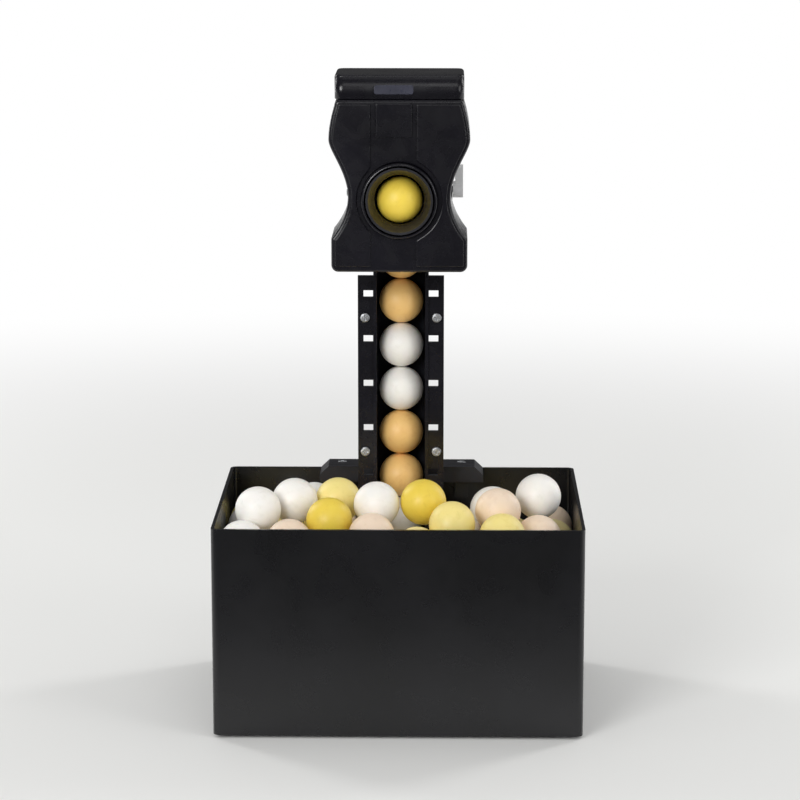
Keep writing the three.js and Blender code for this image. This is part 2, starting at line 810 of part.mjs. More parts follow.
class ElbowPath extends THREE.Curve {
  constructor(extra) {
    super();
    this.bottom = gearTop + gap - extra;
    this.rise = exitHeight - elbowRadius - this.bottom;
    this.run = elbowOverhang + extra;
  }

  getPoint(t, target = new THREE.Vector3()) {
    const bend = elbowRadius * Math.PI / 2;
    const travelled = t * (this.rise + bend + this.run);
    if (travelled <= this.rise) return target.set(0, 0, this.bottom + travelled);
    if (travelled >= this.rise + bend) {
      return target.set(0, this.rise + bend - elbowRadius - travelled, exitHeight);
    }
    const angle = (travelled - this.rise) / elbowRadius;
    const forward = elbowRadius * (1 - Math.cos(angle));
    return target.set(0, -forward, exitHeight - elbowRadius * (1 - Math.sin(angle)));
  }
}

// A round rod along the duct's path, reaching past both of its ends by the extra length
function bentRod(radius, extra) {
  const section = new THREE.Shape();
  section.absarc(0, 0, radius, 0, Math.PI * 2);
  return toSolid(new THREE.ExtrudeGeometry(section, {
    steps: elbowSteps, curveSegments: roundSides / 2, extrudePath: new ElbowPath(extra),
  }));
}

function elbowDuct() {
  return bentRod(ductRadius, 0).subtract(bentRod(channelRadius, overrun));
}

place(column, 'elbow_duct', elbowDuct(), trimBlack);

// Yoke: a base round the duct and two arms up to the tilt pivots

function yokeArm(side) {
  const front = yokeFront - headAhead;
  const rear = yokeArmRear - headAhead;
  const shape = new THREE.Shape();
  shape.moveTo(front, yokeBottom);
  shape.lineTo(rear, yokeBottom);
  shape.absarc(tiltAxisLocal, exitHeight, pivotBossRadius, Math.PI / 5, Math.PI * 1.04);
  const inner = side * yokeInnerHalf;
  const outer = side * yokeOuter;
  const arm = extruded(shape, [Math.min(inner, outer), Math.max(inner, outer)], 'x');
  const hole = rod(pinHole, [-yokeOuter - overrun, yokeOuter + overrun], 'x', smallSides);
  return arm.subtract(hole.translate([0, tiltAxisLocal, exitHeight]));
}

function turretYoke() {
  const span = [yokeBottom, yokeBottom + yokeThickness];
  const depthSpan = [yokeFront - headAhead, yokeRear - headAhead];
  const base = block([-yokeOuter, yokeOuter], depthSpan, span);
  const ductHole = rod(ductRadius + gap, [span[0] - overrun, span[1] + overrun], 'z');
  return joined([base, yokeArm(-1), yokeArm(1)]).subtract(ductHole);
}

place(column, 'turret_yoke', turretYoke(), trimBlack);

// Tilt cradle: the ring in which the head turns, with two ears on the tilt pivots, drawn
// about the launching line

function cradleEar(side) {
  const ends = [side * earInner, side * earOuter].sort((a, b) => a - b);
  const rootEnds = [side * (cradleOuter - earReach), side * earOuter].sort((a, b) => a - b);
  const tip = rod(pivotBossRadius, ends, 'x', roundSides / 2).translate([0, tiltAxisPlace, 0]);
  const web = block(ends, [cradleFront, tiltAxisPlace], [-pivotBossRadius, pivotBossRadius]);
  const root = block(rootEnds, [cradleFront, cradleRear], [-pivotBossRadius, pivotBossRadius]);
  return joined([tip, web, root]);
}

function tiltCradle() {
  const rim = rod(cradleOuter, [cradleFront, cradleRear], 'y');
  const tab = block([-cradleTabHalf, cradleTabHalf], [cradleFront, cradleRear],
    [cradleOuter - earReach, cradleTabReach]);
  const bearing = rod(cradleBore, [cradleFront - overrun, cradleRear + overrun], 'y');
  const pinHoles = rod(pinHole, [-yokeOuter, yokeOuter], 'x', smallSides).translate([0, tiltAxisPlace, 0]);
  const through = [cradleFront - overrun, cradleRear + overrun];
  const knobHole = rod(screwShank + runningGap, through, 'y', smallSides)
    .translate([0, 0, cradleTabReach - cradleTabHalf]);
  const body = joined([rim, tab, cradleEar(-1), cradleEar(1)]);
  const front = block([-2 * yokeOuter, 2 * yokeOuter], [cradleFront - 2 * pivotBossRadius, cradleFront],
    [-2 * pivotBossRadius, 2 * pivotBossRadius]);
  return without(body, [bearing, pinHoles, knobHole, front]);
}

place(head, 'tilt_cradle', tiltCradle(), partGrey);

// A fluted hand knob with its stud, about the named axis
function handKnob(radius, length, studRadius, studStart, seat, out, axis) {
  const points = [];
  const sides = knobFluteCount * 4;
  for (let i = 0; i < sides; i += 1) {
    const angle = 2 * Math.PI * i / sides;
    const r = radius - knobFlute * (1 - Math.cos(knobFluteCount * angle)) / 2;
    points.push(new THREE.Vector2(r * Math.cos(angle), r * Math.sin(angle)));
  }
  const span = [seat, seat + out * length].sort((a, b) => a - b);
  const grip = extruded(new THREE.Shape(points), span, axis);
  const stud = rod(studRadius, [studStart, seat + out * length / 2].sort((a, b) => a - b), axis, smallSides);
  return grip.add(stud);
}

const pinSeat = yokeOuter + gap;

// A clamp lever about the X axis: its stud, its hub and a tapered handle that points up
function tiltLockLever() {
  const end = pinSeat + leverWidth;
  const stud = rod(pinRadius, [earInner, pinSeat + leverWidth / 2], 'x', smallSides);
  const hub = rod(leverHub, [pinSeat, end], 'x', roundSides / 2);
  const shape = new THREE.Shape();
  shape.moveTo(leverRootHalf, 0);
  shape.lineTo(leverTipHalf, leverLength - leverTipHalf);
  shape.absarc(0, leverLength - leverTipHalf, leverTipHalf, 0, Math.PI);
  shape.lineTo(-leverRootHalf, 0);
  return joined([stud, hub, extruded(shape, [pinSeat + leverInset, end], 'x')]);
}

place(head, 'tilt_pin', joined([
  rod(pinRadius, [-pinSeat, -earInner], 'x', smallSides),
  rod(pinHead, [-pinSeat - pinHeadHeight, -pinSeat], 'x', roundSides / 2),
]), steel, [0, tiltAxisPlace, 0]);
place(head, 'tilt_lock_lever', tiltLockLever(), leverGrey, [0, tiltAxisPlace, 0]);
place(head, 'spin_lock_knob',
  handKnob(spinKnobRadius, spinKnobLength, screwShank, cradleFront, cradleRear + gap, 1, 'y'),
  trimBlack, [0, 0, cradleTabReach - cradleTabHalf]);

// Launching head casing, drawn about the launching line

// How far each curve's handles reach, as shares of the rise or step that the curve covers
const handleShare = {
  lowerOut: 0.45, lowerUp: 0.22, waistDown: 0.42, waistUp: 0.43,
  upperDown: 0.2, upperUp: 0.3, topOut: 0.43, topDown: 0.35,
};

// Right-hand edge from the bottom corner up to the top, as [half-width, height] points
function casingEdge() {
  const path = new THREE.Path();
  const bendRise = lowerLobeDrop + waistRise;
  const lobeRise = upperLobeRise - waistRise;
  const topRise = headAbove - upperLobeRise;
  const lowerStep = lowerLobeHalf - waistHalf;
  const topStep = upperLobeHalf - headTopHalf;
  path.absarc(lowerLobeHalf - headCorner, headCorner - headBelow, headCorner, -Math.PI / 2, 0);
  path.lineTo(lowerLobeHalf, -lowerLobeDrop);
  path.bezierCurveTo(lowerLobeHalf - handleShare.lowerOut * lowerStep,
    -lowerLobeDrop + handleShare.lowerUp * bendRise,
    waistHalf, waistRise - handleShare.waistDown * bendRise, waistHalf, waistRise);
  path.bezierCurveTo(waistHalf, waistRise + handleShare.waistUp * lobeRise,
    upperLobeHalf, upperLobeRise - handleShare.upperDown * lobeRise, upperLobeHalf, upperLobeRise);
  path.bezierCurveTo(upperLobeHalf, upperLobeRise + handleShare.upperUp * topRise,
    headTopHalf + handleShare.topOut * topStep, headAbove - handleShare.topDown * topRise,
    headTopHalf, headAbove);
  return path.getPoints(casingSides);
}

function casingOutline() {
  const right = casingEdge();
  const left = right.map((point) => new THREE.Vector2(-point.x, point.y)).reverse();
  return [...right, ...left];
}

// No mitre reaches further than the wall divided by this
const mitreShare = 0.5;

// Moves every point of an outline inwards by the wall, along the mean of its two edges' normals
function insetOutline(points, wall) {
  return points.map((point, i) => {
    const before = points[(i + points.length - 1) % points.length];
    const after = points[(i + 1) % points.length];
    const first = new THREE.Vector2(before.y - point.y, point.x - before.x).normalize();
    const second = new THREE.Vector2(point.y - after.y, after.x - point.x).normalize();
    const normal = first.clone().add(second).normalize();
    return point.clone().addScaledVector(normal, wall / Math.max(normal.dot(first), mitreShare));
  });
}

// Extrusion options for an outer edge that curves in by the given size
function roundedEdge(size) {
  return { bevelEnabled: true, bevelThickness: size, bevelSize: size, bevelOffset: -size, bevelSegments: 2 };
}

// A casing half: the outline run along the head with a rounded outer edge, hollowed to the wall
function casingHalf(from, to, openEnd) {
  const outline = casingOutline();
  const far = 2 * headBelow;
  const body = extruded(new THREE.Shape(outline), [from + headEdge, to - headEdge], 'y',
    roundedEdge(headEdge));
  const inner = new THREE.Shape(insetOutline(outline, headWall));
  const hollowSpan = openEnd > 0 ? [from + headWall, to + overrun] : [from - overrun, to - headWall];
  const cutSpan = openEnd > 0 ? [headSplit, to + overrun] : [from - overrun, headSplit + gap];
  return without(body, [
    extruded(inner, hollowSpan, 'y'),
    block([-far, far], cutSpan, [-far, far]),
  ]);
}

// A low raised panel on the front shell, from the nozzle up to the top cap
function brow() {
  const seat = headFront + headWall / 2;
  return block([-browHalf, browHalf], [headFront - browProud, seat], [browLow, headAbove - headEdge]);
}

function frontShell() {
  const shell = casingHalf(headFront, headSplit + 2 * headEdge, 1);
  const nozzleHole = rod(collarRadius + gap, [headFront - browProud - overrun, headSplit], 'y');
  return without(joined([shell, brow()]), [nozzleHole]);
}

function rearShell() {
  const shell = casingHalf(headSplit - 2 * headEdge, headRear, -1);
  const inletHole = rod(spigotRadius + gap, [headSplit, headRear + overrun], 'y');
  return shell.subtract(inletHole);
}

function topCap() {
  const halfDepth = (headRear - headFront - capFrontStep - capRearStep) / 2;
  const middle = (headFront + capFrontStep + headRear - capRearStep) / 2;
  const outline = roundedRectangle(headTopHalf, halfDepth, capCorner);
  const bottom = headAbove + gap;
  const body = extruded(outline, [bottom - 2 * capEdge, bottom + capHeight - capEdge], 'z',
    roundedEdge(capEdge));
  const hollow = extruded(roundedRectangle(headTopHalf - capWall, halfDepth - capWall, capCorner - capWall),
    [bottom - overrun, bottom + capHeight - capWall], 'z');
  const under = block([-2 * headTopHalf, 2 * headTopHalf], [-2 * halfDepth, 2 * halfDepth],
    [bottom - 4 * capEdge, bottom]);
  return without(body, [under, hollow]).translate([0, middle, 0]);
}

place(head, 'head_front_shell', frontShell(), casingBlack);
place(head, 'head_rear_shell', rearShell(), casingBlack);
place(head, 'head_top_cap', topCap(), casingBlack);

// Nozzle barrel: the collar and its flared mouth, the ball barrel with slots for the two wheels,
// and a wing above and below that each carry a motor

function wheelSlot(side) {
  const radius = tyreRadius + 1.5 * tyreEdge;
  const half = hubWidth / 2 + tyreEdge;
  return rod(radius, [-half, wingPlace], 'x').translate([0, 0, side * wheelOffset]);
}

function motorWing(side) {
  const root = Math.sqrt(channelRadius ** 2 - (wingPlace + wingThickness) ** 2);
  const heights = [side * root, side * wingReach].sort((a, b) => a - b);
  const wing = block([wingPlace, wingPlace + wingThickness], [-wingHalfDepth, wingHalfDepth], heights);
  const through = [wingPlace - overrun, wingPlace + wingThickness + overrun];
  const hole = rod(shaftRadius + runningGap + 2 * gap, through, 'x', smallSides);
  return wing.subtract(hole.translate([0, 0, side * wheelOffset]));
}

function nozzleBarrel() {
  const front = headFront - collarProud;
  const seat = headFront + headWall;
  const tube = turned([
    [mouthRadius, front], [collarRadius - collarEdge, front], [collarRadius, front + collarEdge],
    [collarRadius, seat], [barrelRadius, seat + collarProud], [barrelRadius, barrelEnd],
    [channelRadius, barrelEnd], [channelRadius, front + mouthDepth],
  ], 'y');
  const bore = rod(channelRadius, [front - overrun, barrelEnd + overrun], 'y');
  const wings = joined([motorWing(-1), motorWing(1)]);
  return without(joined([tube, wings.subtract(bore)]), [wheelSlot(-1), wheelSlot(1)]);
}

function inletSpigot() {
  const front = barrelEnd + gap;
  const step = front + spigotNeck;
  const flangeRear = headRear - headWall - gap;
  const flangeFront = flangeRear - spigotFlangeThickness;
  return turned([
    [channelRadius, front], [barrelRadius, front], [barrelRadius, step], [spigotRadius, step],
    [spigotRadius, flangeFront], [spigotFlange, flangeFront], [spigotFlange, flangeRear],
    [spigotRadius, flangeRear], [spigotRadius, spigotRear], [funnelRadius, spigotRear],
  ], 'y');
}

place(head, 'nozzle_barrel', nozzleBarrel(), trimBlack);
place(head, 'inlet_spigot', inletSpigot(), partGrey);
place(head, 'spigot_clip', ring(spigotRadius + gap, clipRadius, [clipFront, spigotRear], 'y'), steel);

// Friction wheels: a hub on its shaft and a foam tyre, each with a motor beside it

function wheelHub() {
  const half = hubWidth / 2;
  const shaftEnd = wingPlace + wingThickness;
  return turned([
    [0, -half], [hubBoss, -half], [hubBoss, -hubWeb / 2], [hubRadius - hubRim, -hubWeb / 2],
    [hubRadius - hubRim, -half], [hubRadius, -half], [hubRadius, half], [hubRadius - hubRim, half],
    [hubRadius - hubRim, hubWeb / 2], [hubBoss, hubWeb / 2], [hubBoss, half], [shaftRadius, half],
    [shaftRadius, shaftEnd], [0, shaftEnd],
  ], 'x', hubSides);
}

function wheelTyre() {
  const half = tyreWidth / 2;
  const bore = hubRadius + gap;
  return turned([
    [bore, -half], [tyreRadius - tyreEdge, -half], [tyreRadius, -half + tyreEdge],
    [tyreRadius - tyreHollow, 0], [tyreRadius, half - tyreEdge], [tyreRadius - tyreEdge, half], [bore, half],
  ], 'x', hubSides);
}

const motorStart = wingPlace + wingThickness + gap;
for (const [name, side] of [['upper', 1], ['lower', -1]]) {
  const height = side * wheelOffset;
  place(head, `${name}_wheel_hub`, wheelHub(), nylon, [0, 0, height]);
  place(head, `${name}_wheel_tyre`, wheelTyre(), foam, [0, 0, height]);
  place(head, `${name}_motor`, gearmotor(motorRadius, motorLength / 2, motorLength, motorStart, 'x'),
    motorCan, [0, 0, height]);
}

// Sockets in the rear wall: a flanged body with a round recess and a short contact

function rearSocket(boreRadius) {
  const sides = roundSides / 2;
  const back = rearInner - socketDepth;
  const floor = back + socketFloor;
  const lipFront = rearFace - rearRecess + gap;
  const body = rod(socketRadius, [back, lipFront + socketLipThickness / 2], 'y', sides);
  const lip = rod(socketLip, [lipFront, lipFront + socketLipThickness - gap], 'y', sides);
  const recess = rod(boreRadius, [floor, rearFace + overrun], 'y', sides);
  const contact = rod(contactRadius, [floor - socketFloor / 2, floor + contactLength], 'y', smallSides / 2);
  return joined([body, lip]).subtract(recess).add(contact);
}

for (const [name, x] of [['power', powerSocketPlace], ['control', controlSocketPlace]]) {
  place(robot, `${name}_socket`, rearSocket(socketBore), socketBlack, [x, 0, socketHeight]);
}

// Rocker switch in its frame

function switchHousing() {
  const halfX = switchHalfWidth + switchFrame;
  const halfZ = switchHalfHeight + switchFrame;
  const outer = block([-halfX, halfX], [rearFace - switchDepth, rearFace - gap], [-halfZ, halfZ]);
  const well = block([-switchHalfWidth, switchHalfWidth],
    [rearFace - switchDepth + switchFrame, rearFace + overrun], [-switchHalfHeight, switchHalfHeight]);
  return outer.subtract(well);
}

function switchRocker() {
  const halfX = switchHalfWidth - runningGap;
  const halfZ = switchHalfHeight - 2 * runningGap - rockerBulge / 2;
  const shape = shapeOf([
    [-rockerThickness, -halfZ * rockerBackShare], [0, -halfZ], [rockerBulge, 0], [0, halfZ],
    [-rockerThickness, halfZ * rockerBackShare], [-rockerThickness - rockerBulge, 0],
  ]);
  return extruded(shape, [-halfX, halfX], 'x');
}

place(robot, 'switch_frame', switchHousing(), socketBlack, [switchPlace, 0, socketHeight]);
place(robot, 'switch_rocker', switchRocker(), socketBlack,
  [switchPlace, rearFace - rockerSink, socketHeight]);

// Circuit board on the bottom cover's posts

place(robot, 'circuit_board', block([-boardHalfWidth, boardHalfWidth], [-boardHalfDepth, boardHalfDepth],
  [boardHeight, boardHeight + boardThickness]), circuit, [boardPlace, boardDepthPlace, 0]);

// Balls

function ball(sides = ballSides, rings = ballRings) {
  const geometry = new THREE.SphereGeometry(ballRadius, sides, rings);
  return toSolid(turnFromY(geometry, 'z'));
}

// Colours of the column's balls from the bottom up
const stackColours = ['yellow', 'white', 'orange', 'orange', 'white', 'white', 'orange', 'orange'];
stackColours.forEach((colour, k) => {
  place(column, `column_ball_${k + 1}`, ball(), celluloid[colour], [0, 0, stackLowest + k * stackPitch]);
});

place(head, 'nozzle_ball', ball(), celluloid.yellow,
  [0, nozzleBallPlace, -(channelRadius - ballRadius - gap)]);

// Height of a ball's centre where it rests on the floor's slope, at a distance in from the wall
function restHeight(inwards, innerHalf, mouthEdge) {
  const slope = Math.atan2(floorEdgeHeight - floorMouthHeight, innerHalf - gap - mouthEdge);
  const floorHere = floorEdgeHeight - (inwards - gap) * Math.tan(slope);
  return floorHere + ballRadius / Math.cos(slope) + gap;
}

const nearWall = ballRadius + heapSideGap;
const sideX = innerHalfWidth - nearWall;
const frontY = -innerHalfDepth + nearWall;
const restLayer = Math.max(restHeight(nearWall, innerHalfWidth, mouthHalfWidth),
  restHeight(nearWall, innerHalfDepth, -mouthFront));

// Places from one end to the other, as few as keep their pitch within the heap's
function spread(from, to) {
  const steps = Math.ceil((to - from) / heapPitch);
  return Array.from({ length: steps + 1 }, (_, i) => from + (to - from) * i / steps);
}

// Rows of the front heap, then rows of the side heaps from there to near the rear wall
const frontRows = [frontY, frontY + heapPitch];
const sideY = frontY + heapPitch + ballDiameter + gap;
const sideRows = spread(sideY, rearInner - nearWall - heapRearRoom);

// A side heap reaches from its wall to the ball column
const innerX = flangeHalfWidth + ballRadius + heapColumnGap;

// Where the top ball of each cell lies: how far right, back and up from the cell's lowest ball, as
// shares of the ball's diameter, by row from the front and by column from the left. Three zeros leave
// the lowest ball alone, and an empty place has none. The tops follow the photo's heap.
const frontShares = [
  [[0, 0, 0.75], [0.03, 0.03, 0.83], [0, 0.48, 0.99], [0.13, 0.26, 0.95],
    [0, 0, 0], [-0.34, 0.48, 1], [-0.22, 0.11, 0.85], [0, 0, 0]],
  [[0.41, -0.11, 1.29], [0.32, 0, 1.365], [0, 0, 0], [0, 0, 1.365],
    [0.04, 0, 1.315], [0.05, 0, 0.55], [-0.27, 0, 1.23], [-0.385, -0.26, 0.68]],
];
const leftShares = [
  [[0, 0, 0.35], [0, 0.285, 0.85], [0, 0, 1.18]],
  [[0, 0, 0.4], [-0.01, 0.32, 0.53], [0, 0.14, 0.73]],
  [[0, 0, 0.3], [-0.03, 0, 0.35], [-0.05, 0, 0.28]],
];
const rightShares = [
  [[], [0.03, 0, 0.68], [-0.35, 0, 1.35]],
  [[0, 0, 0], [0, 0, 0], [0, 0, 0.1]],
  [[0, 0, 0], [0, 0, 0], [0, 0, 0.1]],
];

// The entry of a table that lies at the same part of its length as a place in a list
function entryAt(table, i, list) {
  return table[Math.round(i * (table.length - 1) / (list.length - 1))];
}

// A heap: in each cell a lowest ball, a top ball and, where these two lie apart, one between them
const linkShare = 0.85;

function heap(columns, rows, shares) {
  const balls = [];
  rows.forEach((y, row) => columns.forEach((x, column) => {
    const topShares = entryAt(entryAt(shares, row, rows), column, columns);
    if (topShares.length === 0) return;
    const lowest = new THREE.Vector3(x, y, restLayer);
    const top = lowest.clone().addScaledVector(new THREE.Vector3(...topShares), ballDiameter);
    const places = [lowest];
    if (top.distanceTo(lowest) > 0) places.push(top);
    if (top.distanceTo(lowest) > linkShare * ballDiameter) places.push(lowest.clone().lerp(top, 1 / 2));
    for (const middle of places) balls.push(ball(heapSides, heapRings).translate(middle.toArray()));
  }));
  return joined(balls);
}

place(robot, 'ball_heap_front', heap(spread(-sideX, sideX), frontRows, frontShares), celluloid.cream);
place(robot, 'ball_heap_left', heap(spread(-sideX, -innerX), sideRows, leftShares), celluloid.white);
place(robot, 'ball_heap_right', heap(spread(innerX, sideX), sideRows, rightShares), celluloid.white);

export default robot;
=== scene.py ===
import bmesh
import bpy
import math
import numpy as np
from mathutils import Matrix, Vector
from mathutils.geometry import tessellate_polygon


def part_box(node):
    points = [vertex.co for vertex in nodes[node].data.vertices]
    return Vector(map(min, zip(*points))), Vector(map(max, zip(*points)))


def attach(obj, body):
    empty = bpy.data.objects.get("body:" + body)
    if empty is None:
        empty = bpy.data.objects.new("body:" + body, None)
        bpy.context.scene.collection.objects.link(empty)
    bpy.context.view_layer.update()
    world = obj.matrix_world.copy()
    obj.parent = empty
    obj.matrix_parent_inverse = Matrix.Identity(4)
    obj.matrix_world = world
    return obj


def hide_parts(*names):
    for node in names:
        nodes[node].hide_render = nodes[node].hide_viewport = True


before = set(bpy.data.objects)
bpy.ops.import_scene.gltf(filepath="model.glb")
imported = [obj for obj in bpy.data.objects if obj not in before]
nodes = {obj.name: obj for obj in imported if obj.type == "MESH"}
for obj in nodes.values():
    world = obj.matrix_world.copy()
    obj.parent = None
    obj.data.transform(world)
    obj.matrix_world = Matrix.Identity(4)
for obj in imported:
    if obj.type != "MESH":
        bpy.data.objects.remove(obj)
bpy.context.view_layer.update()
print("frame loaded:", len(nodes), "nodes")

mm = 0.001
fineBump = 0.05 * mm  # depth of the finest relief in the materials
scene = bpy.context.scene


# Camera, stage and lamps

view = {
    "azimuth": 0.9,  # degrees to the right of straight on
    "pitch": 11.6,  # degrees down
    "distance": 2.489,
    "aim": (0.0, 0.0, 0.273),
    "frameHeight": 0.705,  # height seen at the aim's distance
}


def makeCamera(v):
    # position = aim + distance * (sin a cos p, -cos a cos p, sin p); lens from the height seen
    a, p = math.radians(v["azimuth"]), math.radians(v["pitch"])
    back = Vector((math.sin(a) * math.cos(p), -math.cos(a) * math.cos(p), math.sin(p)))
    data = bpy.data.cameras.new("camera")
    data.sensor_width = 36
    data.lens = data.sensor_width * v["distance"] / v["frameHeight"]
    data.clip_end = 60
    camera = bpy.data.objects.new("camera", data)
    camera.location = Vector(v["aim"]) + back * v["distance"]
    camera.rotation_euler = back.to_track_quat("Z", "Y").to_euler()
    scene.collection.objects.link(camera)
    scene.camera = camera


makeCamera(view)
scene.view_settings.view_transform = "Standard"

lamps = [
    # name, place, aim, width, height, watts
    ("key", (-1.35, -2.5, 1.3), (0, 0, 0.32), 1.3, 1.1, 45),
    ("front", (0.4, -2.0, 2.3), (0, 0, 0.3), 1.2, 0.9, 5),
    ("fill", (2.1, -1.5, 1.1), (0, 0, 0.3), 1.0, 1.5, 12),
    ("rimLeft", (-1.5, 1.1, 1.0), (0, 0, 0.35), 0.4, 1.6, 11),
    ("rimRight", (1.5, 1.0, 1.0), (0, 0, 0.35), 0.4, 1.6, 11),
    ("top", (0.1, 0.2, 2.3), (0, 0, 0.3), 1.6, 1.2, 4),
]
for name, place, aim, width, height, watts in lamps:
    data = bpy.data.lights.new(name, "AREA")
    data.shape = "RECTANGLE"
    data.size, data.size_y, data.energy = width, height, watts
    lamp = bpy.data.objects.new(name, data)
    lamp.location = place
    lamp.rotation_euler = (Vector(place) - Vector(aim)).to_track_quat("Z", "Y").to_euler()
    scene.collection.objects.link(lamp)
print("camera and lamps made")


# Node and colour helpers

def linear(hexColour):
    # sRGB hex to linear: c / 12.92 below 0.04045, otherwise ((c + 0.055) / 1.055) ** 2.4
    parts = np.array([int(hexColour[i:i + 2], 16) for i in (1, 3, 5)]) / 255
    low = parts / 12.92
    high = ((parts + 0.055) / 1.055) ** 2.4
    return (*np.where(parts <= 0.04045, low, high).tolist(), 1.0)


def addNode(tree, kind, settings=None, links=None):
    # a key is a socket's name or number, or the name of a property; a Map Range takes its value at 0, from 1 to 2
    # and out at 3 to 4, and a colour Mix its factor at 0 and its colours at 6 and 7
    node = tree.nodes.new(kind)
    for key, value in (settings or {}).items():
        if isinstance(key, int) or key in node.inputs:
            node.inputs[key].default_value = value
        else:
            setattr(node, key, value)
    for key, source in (links or {}).items():
        tree.links.new(source, node.inputs[key])
    return node


def newMaterial(name):
    material = bpy.data.materials.new(name)
    material.use_nodes = True
    tree = material.node_tree
    tree.nodes.clear()
    shader = addNode(tree, "ShaderNodeBsdfPrincipled")
    addNode(tree, "ShaderNodeOutputMaterial", links={"Surface": shader.outputs[0]})
    coords = addNode(tree, "ShaderNodeTexCoord").outputs["Object"]
    return material, tree, shader, coords


def perMetre(size):
    return 1 / (size * mm)  # texture scale that gives a feature of this many millimetres


def seenRays(tree):
    # two values: 1 for camera and transmission rays, and 1 for glossy rays
    rays = addNode(tree, "ShaderNodeLightPath")
    both = addNode(tree, "ShaderNodeMath", {"operation": "MAXIMUM"},
                   {0: rays.outputs["Is Camera Ray"], 1: rays.outputs["Is Transmission Ray"]})
    return both.outputs[0], rays.outputs["Is Glossy Ray"]


stageLook = {
    "reach": 9.0, "floor": "#eeeeec",
    "fadeFrom": 0.75, "fadeTo": 2.1,  # distances over which the floor turns white, in metres
    "ambient": 0.42,  # light of the room on the object
    "roomGloss": 0.06, "backGloss": 0.08,  # what gloss shows of the room in front and of the backdrop behind
    "dimFrom": 0.16, "dimTo": 0.55,  # distances in front of the object over which the reflected floor turns dim
}


def makeFloor(v):
    # pale matt floor that turns into the white backdrop away from the object
    material, tree, shader, coords = newMaterial("paleMattFloor")
    shader.inputs["Base Color"].default_value = linear(v["floor"])
    shader.inputs["Roughness"].default_value = 0.95
    shader.inputs["Specular IOR Level"].default_value = 0.1
    away = addNode(tree, "ShaderNodeVectorMath", {"operation": "LENGTH"}, {0: coords}).outputs["Value"]
    fade = addNode(tree, "ShaderNodeMapRange", {
        "interpolation_type": "SMOOTHSTEP", "From Min": v["fadeFrom"], "From Max": v["fadeTo"],
    }, {"Value": away}).outputs[0]
    seen, glossy = seenRays(tree)
    anyRay = addNode(tree, "ShaderNodeMath", {"operation": "MAXIMUM"}, {0: seen, 1: glossy}).outputs[0]
    share = addNode(tree, "ShaderNodeMath", {"operation": "MULTIPLY"}, {0: fade, 1: anyRay}).outputs[0]
    white = addNode(tree, "ShaderNodeEmission", {"Color": (1, 1, 1, 1), "Strength": 1.0})
    both = addNode(tree, "ShaderNodeMixShader", links={0: share, 1: shader.outputs[0], 2: white.outputs[0]})
    # reflections find the room's dim front where the floor runs on past the object
    ahead = addNode(tree, "ShaderNodeSeparateXYZ", links={0: coords}).outputs["Y"]
    dim = addNode(tree, "ShaderNodeMapRange", {
        "interpolation_type": "SMOOTHSTEP", "From Min": -v["dimFrom"], "From Max": -v["dimTo"],
    }, {"Value": ahead}).outputs[0]
    dimShare = addNode(tree, "ShaderNodeMath", {"operation": "MULTIPLY"}, {0: dim, 1: glossy}).outputs[0]
    room = addNode(tree, "ShaderNodeEmission", {"Color": (1, 1, 1, 1), "Strength": v["roomGloss"]})
    whole = addNode(tree, "ShaderNodeMixShader", links={0: dimShare, 1: both.outputs[0], 2: room.outputs[0]})
    tree.links.new(whole.outputs[0], tree.get_output_node("ALL").inputs["Surface"])
    r = v["reach"]
    data = bpy.data.meshes.new("floor")
    data.from_pydata([(-r, -r, 0), (r, -r, 0), (r, r, 0), (-r, r, 0)], [], [(0, 1, 2, 3)])
    data.materials.append(material)
    floor = bpy.data.objects.new("floor", data)
    scene.collection.objects.link(floor)


def makeWorld(v):
    # white where it is seen, an even dim room for the light, and its own strength for glossy rays, which goes from
    # the room's in front to the backdrop's behind
    world = bpy.data.worlds.new("studio")
    scene.world = world
    world.use_nodes = True
    tree = world.node_tree
    tree.nodes.clear()
    seen, glossy = seenRays(tree)
    direction = addNode(tree, "ShaderNodeTexCoord").outputs["Generated"]
    depth = addNode(tree, "ShaderNodeSeparateXYZ", links={0: direction}).outputs["Y"]
    behind = addNode(tree, "ShaderNodeMapRange", {
        "interpolation_type": "SMOOTHSTEP", "From Min": 0.1, "From Max": 0.8,
        "To Min": v["roomGloss"], "To Max": v["backGloss"],
    }, {"Value": depth}).outputs[0]
    room = addNode(tree, "ShaderNodeMix", {"data_type": "FLOAT", 2: v["ambient"]}, {0: glossy, 3: behind})
    strength = addNode(tree, "ShaderNodeMix", {"data_type": "FLOAT", 3: 1.0}, {0: seen, 2: room.outputs[0]})
    glow = addNode(tree, "ShaderNodeBackground", {"Color": (1, 1, 1, 1)}, {"Strength": strength.outputs[0]})
    addNode(tree, "ShaderNodeOutputWorld", links={"Surface": glow.outputs[0]})


